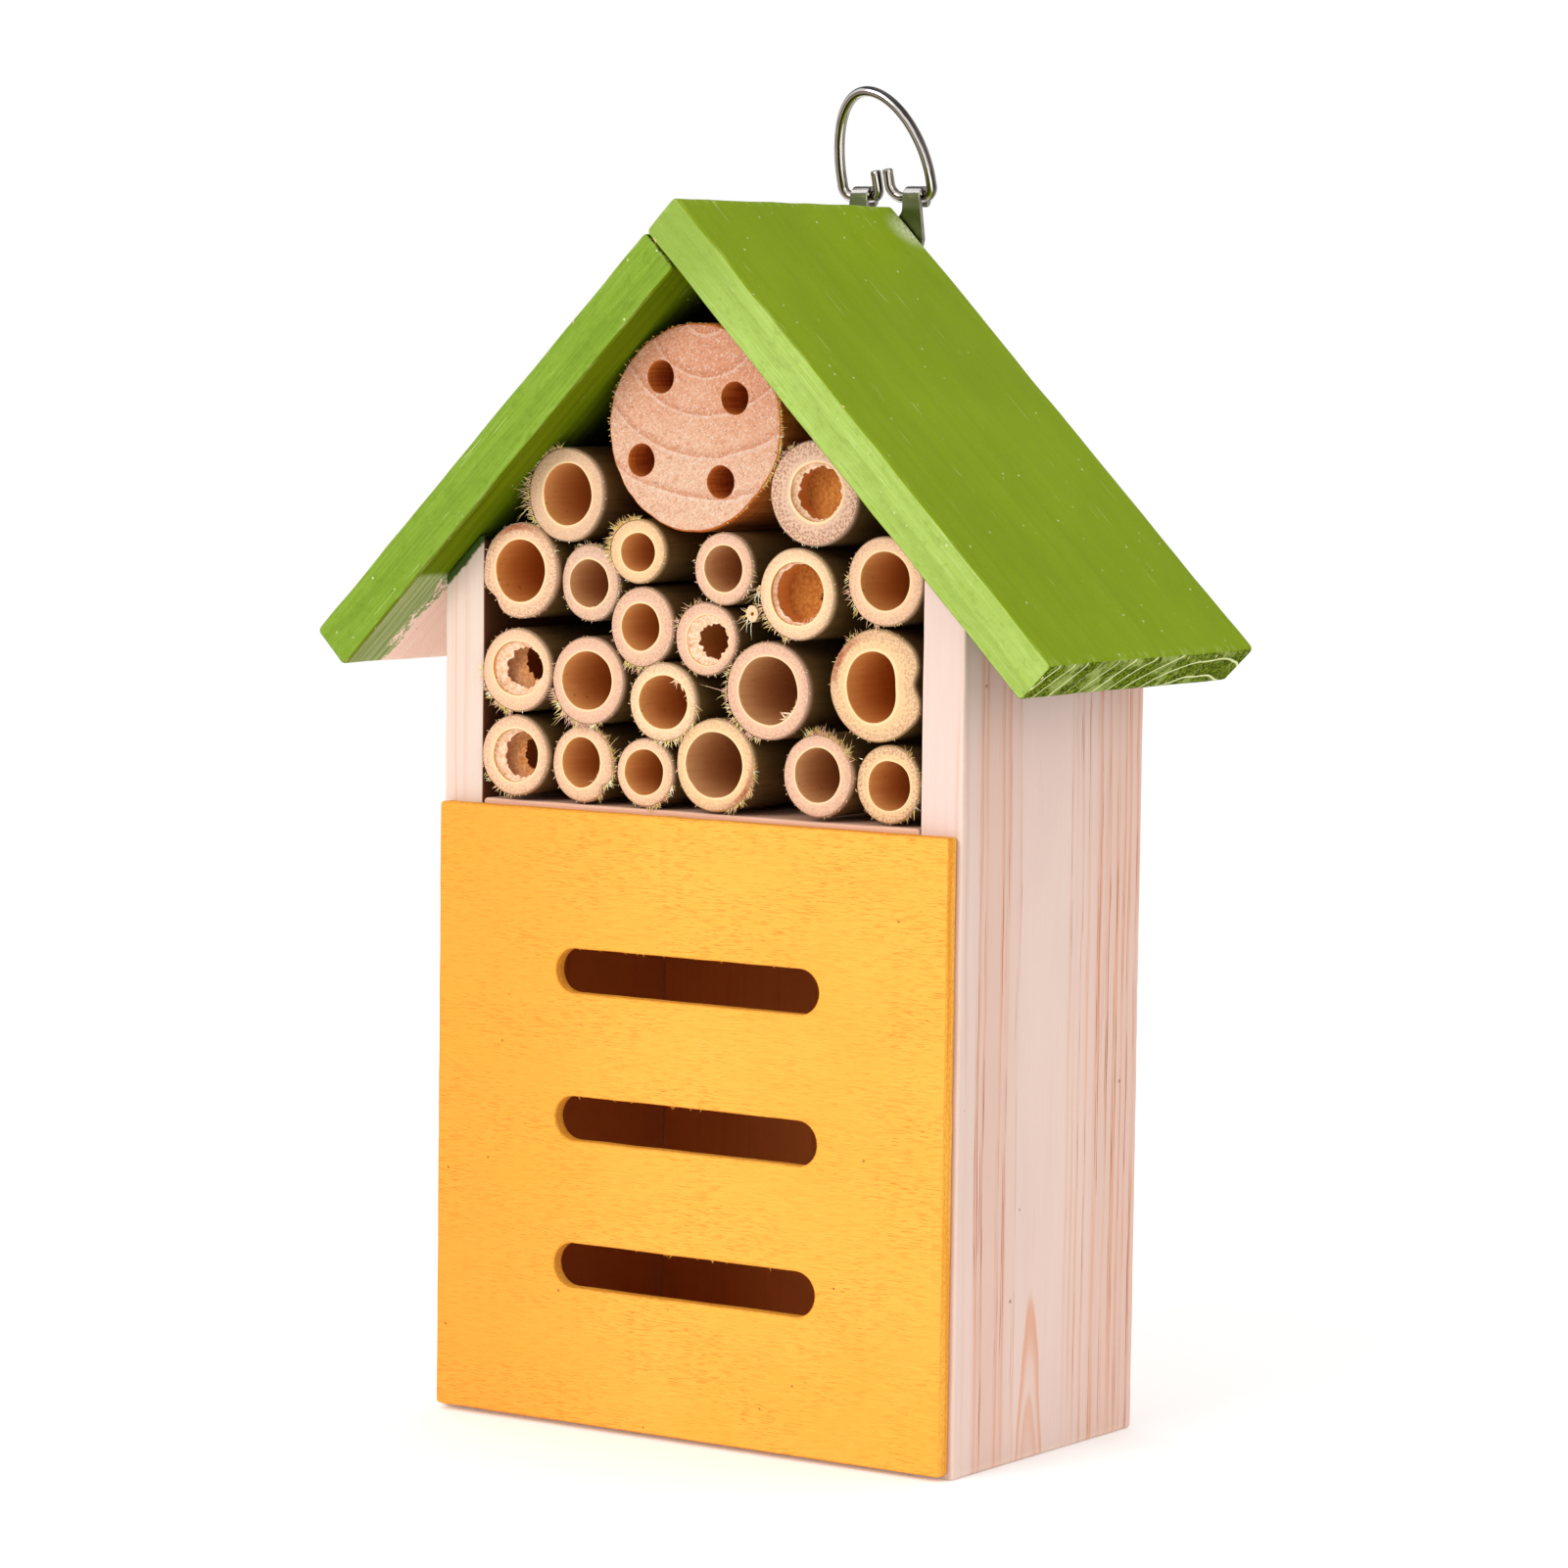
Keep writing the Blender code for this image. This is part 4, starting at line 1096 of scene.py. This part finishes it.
def radius_at(loop, angle, centre=(0, 0)):
    """How far a loop about this centre reaches at these angles."""
    points = np.asarray(loop, float) - np.asarray(centre, float)
    own = np.arctan2(points[:, 1], points[:, 0])
    order = np.argsort(own)
    return np.interp(angle, own[order], np.hypot(*points.T)[order], period=TURN)


def outwards(loop, angle, centre=(0, 0)):
    """The direction out from a centre at this angle, and how far the loop reaches there."""
    wrapped = np.array([math.atan2(math.sin(angle), math.cos(angle))])
    return Vector((math.cos(angle), 0, math.sin(angle))), float(radius_at(loop, wrapped, centre)[0])


def stem_values(tone, inner, dots, wall, stain):
    """What the bamboo materials read at each point."""
    count = len(wall)
    return [
        ("wall", "FLOAT", wall),
        ("dots", "FLOAT", np.full(count, dots)),
        ("stain", "FLOAT", stain),
        ("tone", "FLOAT_COLOR", np.tile(colour(*FACE_TONES[tone]), (count, 1))),
        ("inner", "FLOAT_COLOR", np.tile(colour(*BORE_TONES[inner]), (count, 1))),
    ]


def hairs(solid, loop, spans, rng, slot, along=0.4):
    """Saw hairs on an outside rim, leaning out and forward. spans: (from, to, how many, how long in mm)."""
    for start, end, count, long_mm in spans:
        for _ in range(count):
            angle = math.radians(rng.uniform(start, end))
            out, reach = outwards(loop, angle)
            root = out * (reach - 0.12 * MM) + Vector((0, rng.uniform(0.2, along * 2) * MM, 0))
            turned = Vector((-out.z, 0, out.x)) * rng.uniform(-0.7, 0.7)
            direction = out * rng.uniform(0.5, 1.0) + turned + Vector((0, rng.uniform(-0.8, 0.15), 0))
            length = long_mm * MM * rng.uniform(0.4, 1.4)
            bend = Vector((rng.uniform(-0.3, 0.3), rng.uniform(-0.2, 0.2), rng.uniform(-0.35, 0.1)))
            fibre(solid, root, direction, length, rng.uniform(0.06, 0.13) * MM, bend, slot)


def torn_bits(solid, bore, centre, number, rng):
    """Pale flakes and fibres that hang from the wall of a bore."""
    for _, start, end, count, deep_mm, long_mm in (bits for bits in BITS if bits[0] == number):
        for _ in range(count):
            angle = math.radians(rng.uniform(start, end))
            out, reach = outwards(bore, angle, centre)
            root = Vector((centre[0], 0, centre[1])) + out * (reach + 0.1 * MM)
            root += Vector((0, rng.uniform(0.3, 1.0) * deep_mm * MM + 0.4 * MM, 0))
            turned = Vector((-out.z, 0, out.x)) * rng.uniform(-1.2, 1.2)
            direction = turned - out * rng.uniform(0.2, 0.8) + Vector((0, rng.uniform(-0.5, 0.6), 0))
            bend = Vector((rng.uniform(-0.5, 0.5), 0, rng.uniform(-0.5, 0.3)))
            length = long_mm * MM * rng.uniform(0.4, 1.2)
            fibre(solid, root, direction, length, rng.uniform(0.13, 0.3) * MM, bend, 4)


def broken_wall(solid, bore, centre, joint, seed, slot):
    """A dished wall across the bore with a jagged hole, as a closed shell."""
    _, depth, shift_x, shift_z, width, height, jagged = joint
    count = CANE_POINTS
    rng = random.Random(seed)
    angles = np.arange(count) * TURN / count
    outer = radius_at(bore, np.arctan2(np.sin(angles), np.cos(angles)), centre) + 0.15 * MM
    rings = {True: [], False: []}
    teeth = []
    for angle in angles:
        spot = Vector((math.cos(angle), math.sin(angle), seed))
        uneven = 0.9 * noise.noise(spot * 1.3) + 1.2 * noise.noise(spot * 4.0) + 0.5 * noise.noise(spot * 9.0)
        teeth.append(1 + jagged * (uneven + rng.uniform(-0.2, 0.15)))
    for front in (True, False):
        for share in (0.0, 0.25, 0.5, 0.75, 1.0):
            ring = []
            for i, angle in enumerate(angles):
                inner = teeth[i] / math.hypot(math.cos(angle) / width, math.sin(angle) / height) / 2 * MM
                hole_x = shift_x * MM + inner * math.cos(angle)
                hole_z = shift_z * MM + inner * math.sin(angle)
                edge_x, edge_z = outer[i] * math.cos(angle), outer[i] * math.sin(angle)
                x, z = edge_x + (hole_x - edge_x) * share, edge_z + (hole_z - edge_z) * share
                folds = 0.3 * MM * noise.noise(Vector((math.cos(angle) * 3, math.sin(angle) * 3, seed)))
                lumps = folds + 0.35 * MM * noise.noise(Vector((x, z, seed)) / (1.1 * MM))
                y = (depth + 1.1 * math.sin(share * math.pi / 2)) * MM + lumps * share
                thick = 0 if front else (0.8 - 0.55 * share) * MM
                ring.append((centre[0] + x, y + thick, centre[1] + z))
            rings[front].append(solid.add(ring))
    for front in (True, False):
        for first, second in zip(rings[front], rings[front][1:]):
            solid.strip(first, second, slot)
    solid.strip(rings[True][-1], rings[False][-1], slot)
    solid.strip(rings[True][0], rings[False][0], slot)


def cane(number, look, materials):
    """One length of bamboo about its own middle, its face at the front of its node."""
    size, bore_size, tone, dots, inner_tone, dents, spans = look
    node = f"cane_{number:02d}"
    origin, length, _ = front_of(node)
    outline = oval(size[0] * MM, size[1] * MM, CANE_POINTS, 0.025, number * 3.1, dents)
    centre = (bore_size[0] * MM, bore_size[1] * MM)
    flat_side = ((4, 36, 1.1),) if number == 15 else ()
    bore = oval(bore_size[2] * MM, bore_size[3] * MM, CANE_POINTS, 0.035, number * 5.3, flat_side, centre)
    solid = Solid()
    stations = [1.3 * MM, 3 * MM] + [6 * MM * k for k in range(1, 12)]
    holes = [(bore[::-1], 0.18 * MM, None)]
    extrusion(solid, outline, holes, length, 0.75 * MM, 1.0 * MM, number, stations, (0, 1, 2))
    placed(solid, 0.0)
    rng = random.Random(number)
    tilt_x, tilt_z = rng.uniform(-0.02, 0.02), rng.uniform(-0.02, 0.02)
    flat = np.array([(x, z) for x, _, z in solid.points])
    angle = np.arctan2(flat[:, 1], flat[:, 0])
    about = np.arctan2(flat[:, 1] - centre[1], flat[:, 0] - centre[0])
    outside = radius_at(outline, angle) - np.hypot(*flat.T)
    within = np.hypot(flat[:, 0] - centre[0], flat[:, 1] - centre[1]) - radius_at(bore, about, centre)
    wall = np.clip(within / np.maximum(within + outside, 1e-6), 0, 1)
    bent = []
    for x, y, z in solid.points:
        near = max(0.0, 1 - y / (3 * MM))
        dish = 0.12 * MM * noise.noise(Vector((x, z, number)) / (2.5 * MM)) * near
        y = y + (0.25 * MM + x * tilt_x + z * tilt_z) * near + dish
        bent.append((x, y, z))
    solid.points = bent
    hairs(solid, outline, spans, rng, 3)
    hairs(solid, outline, ((0, 360, 26, 0.5),), rng, 3)
    for joint in JOINTS:
        if joint[0] == number:
            broken_wall(solid, bore, centre, joint, number + joint[1], 4)
    stain = np.zeros(len(solid.points))
    if number in STAINS:
        stain[: len(wall)] = [math.exp(-(((a - STAINS[number]) / 0.6) ** 2)) for a in angle]
    torn_bits(solid, bore, centre, number, rng)
    stain = np.concatenate([stain, np.zeros(len(solid.points) - len(stain))])
    wall = np.concatenate([wall, np.full(len(solid.points) - len(wall), 0.5)])
    values = stem_values(tone, inner_tone, dots, wall, stain)
    name = f"{node}_bamboo"
    return piece(name, solid.mesh(name, materials, values), "house", "bamboo", node, origin=origin)


def twig(node, materials, seed):
    """A thin stem with a dot of pith and split ends."""
    origin, length, width = front_of(node)
    radius = width / 2
    outline = oval(radius * 1.9, radius * 2.2, 24, 0.1, seed)
    pith = oval(radius * 0.5, radius * 0.5, 12, 0.1, seed + 1)
    solid = Solid()
    stations = [6 * MM * k for k in range(1, 8)]
    holes = [(pith[::-1], 0.05 * MM, 2 * MM)]
    extrusion(solid, outline, holes, length, 0.15 * MM, 0.5 * MM, seed, stations, (0, 1, 2))
    placed(solid, 0.0)
    rng = random.Random(seed)
    hairs(solid, outline, ((150, 260, 14, 2.4), (60, 100, 3, 2.2)), rng, 3)
    count = len(solid.points)
    values = stem_values("cream", "brown", 0.1, np.full(count, 0.5), np.zeros(count))
    name = f"{node}_stem"
    return piece(name, solid.mesh(name, materials, values), "house", "bamboo", node, origin=origin)


def drilled_log(materials):
    """A rough-sawn slice of branch with four blind holes, flattened low on its right."""
    origin, length, diameter = front_of("drilled_log")
    outline = oval(diameter, diameter, 180, 0.014, 4.0, ((-45, 22, 0.9), (130, 30, 0.25)))
    outline = [(u, v) for u, v in (
        Vector(p) * (1 + 0.009 * noise.noise(Vector((p[0], p[1], 5.0)) / (2.2 * MM))) for p in outline)]
    holes = []
    for k, opening in enumerate(o for o in frame["record"]["physics"]["openings"] if "log" in o["name"]):
        (x0, _, z0), (x1, _, z1) = opening["box_m"]
        shift = ((x0 + x1) / 2 - origin.x, (z0 + z1) / 2 - origin.z)
        loop = oval(6.6 * MM, 6.7 * MM, 40, 0.03, k * 2.0, (), shift)
        holes.append((loop[::-1], 0.2 * MM, 50 * MM))
    solid = Solid()
    stations = [1.5 * MM] + [5 * MM * k for k in range(1, 14)]
    extrusion(solid, outline, holes, length, 0.8 * MM, 0.9 * MM, 40, stations, (0, 1, 1))
    placed(solid, 0.0)
    rough = []
    for x, y, z in solid.points:
        near = max(0.0, 1 - y / (4 * MM))
        lump = noise.noise(Vector((x, z, 2.0)) / (1.1 * MM)) + noise.noise(Vector((x, z, 9.0)) / (6 * MM))
        swell = 1 + 0.006 * noise.noise(Vector((x, y, z)) / (2.2 * MM))
        rough.append((x * swell, y + (0.25 + 0.18 * lump) * MM * near, z * swell))
    solid.points = rough
    rng = random.Random(41)
    hairs(solid, outline, ((-35, 25, 150, 0.9), (-70, 200, 150, 0.5)), rng, 2)
    count = len(solid.points)
    values = [("tone", "FLOAT_COLOR", np.tile(colour(226, 186, 110), (count, 1)))]
    name = "drilled_log_wood"
    return piece(name, solid.mesh(name, materials, values), "house", "log_wood", "drilled_log", origin=origin)


def filling_of_the_house():
    fibre_paint = bamboo_fibre("bamboo_fibre")
    face, skin, bore = bamboo_face("bamboo_face"), bamboo_skin("bamboo_skin"), bamboo_bore("bamboo_bore")
    materials = [face, skin, bore, fibre_paint, torn_pith("torn_pith")]
    for number, look in enumerate(CANES, 1):
        cane(number, look, materials)
    twig("twig_lower", materials, 51)
    twig("twig_upper", materials, 52)
    drilled_log([log_face("log_face"), log_side("log_side"), fibre_paint])


# ---------------------------------------------------------------- the hanger

AXIS = Vector(frame["joints"][0]["pos_m"])
PLATE_INNER = 4.5  # from the plate's middle to the inner edge of a tab, in mm


def ring_half(end_x, end_height, bend):
    """Half of the ring's line in its own plane, from its cut end to its top, about its axis (mm)."""
    width, height, waist, corner = 22.7, 23.2, 4.0, 2.5
    points = [(end_x, end_height - (end_height - bend) * k / 4) for k in range(4)]
    points += arc(end_x + bend, bend, bend, 180, 270, 12)
    points += arc(width / 2 - corner, corner, corner, -90, 0, 12)[1:]
    for k in range(1, 41):
        angle = math.pi / 2 * k / 40
        points.append((width / 2 * math.cos(angle), waist + (height - waist) * math.sin(angle) ** 1.05))
    return points


def hanger_ring(material):
    """A bent wire with its two cut ends standing up inside it, swept as a round tube."""
    radius, clearance, spacing = 1.15, 0.5, 0.8
    plate_x, axis_x = -1.8, -2.3
    left_x = plate_x - PLATE_INNER + clearance + radius - axis_x
    right_x = left_x + 2 * radius + spacing
    right = ring_half(right_x, 6.3, 3.0)
    left = [(-x, z) for x, z in ring_half(-left_x, 5.9, 1.7)]
    sides, lean = 24, math.radians(15)
    sway, sway_height = 2.0, 23  # how far the ring leans to the left, at this height
    cut_end = ((0.62, 0.0), (0.86, 0.06), (1.0, 0.3))  # its share of the width, and how far along
    solid = Solid()
    points = [Vector((x - sway * (z / sway_height) ** 2, 0, z)) for x, z in right + left[-2::-1]]
    rings, outward = [], []
    for i, point in enumerate(points):
        ahead = points[min(i + 1, len(points) - 1)] - points[max(i - 1, 0)]
        along = ahead.normalized()
        across = Vector((0, 1, 0)).cross(along)
        sections = ((1.0, 0.0),)
        if i == 0:
            sections = cut_end
        if i == len(points) - 1:
            sections = [(size, -offset) for size, offset in reversed(cut_end)]
        for size, offset in sections:
            ring = []
            for k in range(sides):
                angle = TURN * k / sides
                arm = Vector((0, 1, 0)) * math.cos(angle) + across * math.sin(angle)
                ring.append((point + along * offset + arm * radius * size) * MM)
                outward.append(math.sin(angle))
            rings.append(solid.add(ring))
    for first, second in zip(rings, rings[1:]):
        solid.strip(first, second)
    solid.face(rings[0])
    solid.face(rings[-1])
    turn = Matrix.Rotation(lean, 3, "X")
    solid.points = [tuple(turn @ Vector(p)) for p in solid.points]
    name = "hanger_ring_wire"
    mesh = solid.mesh(name, [material], [("outward", "FLOAT", outward)])
    return piece(name, mesh, "ring", "nickel_steel", "hanger_ring", origin=AXIS)


def hanger_plate(material):
    """Sheet steel with two tabs rolled round the wire and two screw holes."""
    low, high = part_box("hanger_plate")
    thickness, curl = 1.0, 1.45
    middle_radius = curl + thickness / 2
    top, half, height, end = 8.9, 10.0, 27.0, 7.0
    hole_x, hole_radius = 5.0, 1.8
    inner, notch, tab_corner = PLATE_INNER, 4.5, 0.6
    rolled = math.radians(240) * middle_radius
    corner, tab_top = notch / 2, rolled - tab_corner

    outline = [(-top, 0), (-half, -height / 3)]
    outline += arc(0, end - height, end, 190, 350, 28)
    outline += [(half, -height / 3), (top, 0)]
    for first, second in ((top, inner), (-inner, -top)):
        outline += [(first, rolled * k / 12) for k in range(1, 12)]
        outline += arc(first - tab_corner, tab_top, tab_corner, 0, 90, 4)
        outline += arc(second + tab_corner, tab_top, tab_corner, 90, 180, 4)
        outline += [(second, rolled * (11 - k) / 12) for k in range(11)]
        if second > 0:  # the notch between the tabs
            outline += arc(inner - corner, corner - notch, corner, 0, -90, 6)
            outline += arc(corner - inner, corner - notch, corner, -90, -180, 6)
    dense = []
    for a, b in zip(outline, outline[1:] + outline[:1]):
        steps = max(1, int(math.dist(a, b) / 1.0))
        dense += [(a[0] + (b[0] - a[0]) * k / steps, a[1] + (b[1] - a[1]) * k / steps) for k in range(steps)]
    screw_low, screw_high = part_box("hanger_screw_left")
    screw_z = (screw_low.z + screw_high.z) / 2
    holes = []
    for side in (-1, 1):
        loop = arc(side * hole_x, screw_z / MM - AXIS.z / MM, hole_radius, 0, 350, 35)
        holes.append((loop[::-1], 0.12, None))
    solid = Solid()
    extrusion(solid, dense, holes, thickness, 0.15, 0.7, 60, (), (0, 0, 0))
    plate_x = (low.x + high.x) / 2 / MM
    bent = []
    for u, s, w in solid.points:
        if s <= 0:
            y, z = low.y / MM + w, s
        else:
            angle = s / middle_radius
            reach = curl + thickness - w
            y = AXIS.y / MM - reach * math.cos(angle)
            z = reach * math.sin(angle)
        bent.append((plate_x + u, y, AXIS.z / MM + z))
    solid.points = [(x * MM, y * MM, z * MM) for x, y, z in bent]
    name = "hanger_plate_steel"
    return piece(name, solid.mesh(name, [material], sharp=35), "house", "nickel_steel", "hanger_plate")


def screw(word, material, seed):
    """A round-headed screw with a cross recess and a threaded shank."""
    node = f"hanger_screw_{word}"
    low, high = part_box(node)
    middle = Vector(((low.x + high.x) / 2, 0, (low.z + high.z) / 2))
    head, rise, shank = (high.x - low.x) / 2 / MM, 1.7, 1.5
    recess, arm_width, arm_length = 0.9, 0.5, 1.6
    face_y = high.y / MM - rise
    turn = random.Random(seed).uniform(0, 1.5)
    around = 144
    solid = Solid()
    profile = [(head * math.sin(a), rise * math.cos(a)) for a in (math.pi / 2 * k / 44 for k in range(1, 45))]
    profile += [(head, -0.02), (shank, -0.02)]
    pitch = 1.1
    tip = low.y / MM - face_y
    depth = -0.1
    while depth > tip + 0.15:
        share = min(1.0, (depth - tip) / 3.0)
        crest = 0.22 if round(depth / (pitch / 2)) % 2 else -0.12
        profile.append(((shank - 0.2 + crest) * share, depth))
        depth -= pitch / 2
    rings = []
    for radius, y in profile:
        ring, hollow = [], []
        for k in range(around):
            angle = TURN * k / around
            x, z = radius * math.cos(angle), radius * math.sin(angle)
            sunk = 0.0
            if y > 0:
                along, across = abs(radius * math.cos(angle - turn)), abs(radius * math.sin(angle - turn))
                narrow = (arm_width - min(along, across)) / 0.14
                short = (arm_length - max(along, across)) / 0.25
                sunk = recess * min(1.0, max(0.0, narrow)) * min(1.0, max(0.0, short))
            ring.append((middle.x + x * MM, (face_y + y - sunk) * MM, middle.z + z * MM))
            hollow.append(sunk / recess)
        rings.append(solid.add(ring, hollow))
    crown = solid.add([(middle.x, (face_y + rise - recess) * MM, middle.z)], 1.0)[0]
    point = solid.add([(middle.x, low.y, middle.z)])[0]
    for k in range(around):
        solid.face((crown, rings[0][k], rings[0][(k + 1) % around]))
        solid.face((point, rings[-1][(k + 1) % around], rings[-1][k]))
    for first, second in zip(rings, rings[1:]):
        solid.strip(first, second)
    name = f"{node}_steel"
    return piece(name, solid.mesh(name, [material], sharp=30), "house", "nickel_steel", node)


# Painted highlights and reflections along the wire: from and to across it, colour, strength, and whether it
# is weaker on the left
WIRE_PAINTED_REFLECTIONS = (
    (0.7, 1.2, (58, 52, 54), 0.9, False),
    (0.36, 0.66, (255, 252, 250), 0.8, True),
    (-0.02, 0.22, (108, 92, 78), 0.7, False),
    (-0.5, -0.12, (62, 58, 26), 0.9, False),
    (-0.85, -0.55, (236, 226, 218), 0.8, False),
    (-1.2, -0.95, (92, 82, 76), 0.7, False),
)


def hanger():
    wire = steel("steel_wire", (158, 148, 136), 0.1, WIRE_PAINTED_REFLECTIONS)
    sheet = steel("steel_sheet", (150, 146, 138), 0.14, painted_roof_reflection=0.75)
    screws = steel("steel_screw", (150, 146, 136), 0.16, painted_recess_shade=0.85)
    hanger_ring(wire)
    hanger_plate(sheet)
    screw("left", screws, 71)
    screw("right", screws, 72)


# ---------------------------------------------------------------- floor, light and camera


def studio():
    scene = bpy.context.scene
    scene.view_settings.view_transform = "Standard"
    world = bpy.data.worlds.new("studio")
    scene.world = world
    world.use_nodes = True
    tree = world.node_tree
    background = tree.nodes["Background"]
    background.inputs["Color"].default_value = (1, 1, 1, 1)
    background.inputs["Strength"].default_value = 0.8
    backdrop = tree.nodes.new("ShaderNodeBackground")
    backdrop.inputs["Color"].default_value = (1, 1, 1, 1)
    backdrop.inputs["Strength"].default_value = 1.0
    seen = tree.nodes.new("ShaderNodeLightPath").outputs["Is Camera Ray"]
    either = tree.nodes.new("ShaderNodeMixShader")
    tree.links.new(seen, either.inputs["Fac"])
    tree.links.new(background.outputs[0], either.inputs[1])
    tree.links.new(backdrop.outputs[0], either.inputs[2])
    tree.links.new(either.outputs[0], tree.nodes["World Output"].inputs["Surface"])

    bm = bmesh.new()
    bmesh.ops.create_circle(bm, cap_ends=True, segments=96, radius=0.8)
    mesh = bpy.data.meshes.new("floor")
    bm.to_mesh(mesh)
    bm.free()
    floor = bpy.data.objects.new("floor", mesh)
    scene.collection.objects.link(floor)
    paint = Paint("floor_white", roughness=0.9, Specular_IOR_Level=0.0, Emission_Strength=0.12)
    mesh.materials.append(paint.finish((0.97, 0.97, 0.97, 1)))

    middle = Vector((0, 0, 0.14))
    lights = (
        ("key", (-0.35, -1.5, 0.95), 0.9, 14.0),
        ("right_fill", (1.3, -0.35, 0.55), 0.8, 2.0),
        ("top", (0.1, 0.2, 1.5), 0.9, 3.0),
    )
    for name, place, size, power in lights:
        light = bpy.data.lights.new(name, "AREA")
        light.shape = "SQUARE"
        light.size = size
        light.energy = power
        lamp = bpy.data.objects.new(name, light)
        lamp.location = place
        lamp.rotation_mode = "QUATERNION"
        lamp.rotation_quaternion = (middle - Vector(place)).to_track_quat("-Z", "Y")
        scene.collection.objects.link(lamp)


def camera():
    """To the right of the front and a little above the eaves, with a long lens."""
    yaw, pitch, roll = 0.5967, 0.0831, 0.0128
    forward = Vector((-math.sin(yaw) * math.cos(pitch), math.cos(yaw) * math.cos(pitch), -math.sin(pitch)))
    level = Vector((math.cos(yaw), math.sin(yaw), 0))
    upright = level.cross(forward)
    right = level * math.cos(roll) + upright * math.sin(roll)
    up = upright * math.cos(roll) - level * math.sin(roll)
    data = bpy.data.cameras.new("camera")
    data.sensor_width = 36
    data.lens = 130.72
    data.clip_start, data.clip_end = 0.05, 100
    obj = bpy.data.objects.new("camera", data)
    turn = Matrix((right, up, -forward)).transposed()
    obj.matrix_world = Matrix.Translation((0.67022, -0.98934, 0.23434)) @ turn.to_4x4()
    bpy.context.scene.collection.objects.link(obj)
    bpy.context.scene.camera = obj


house()
roof()
front_panel()
filling_of_the_house()
hanger()
studio()
camera()
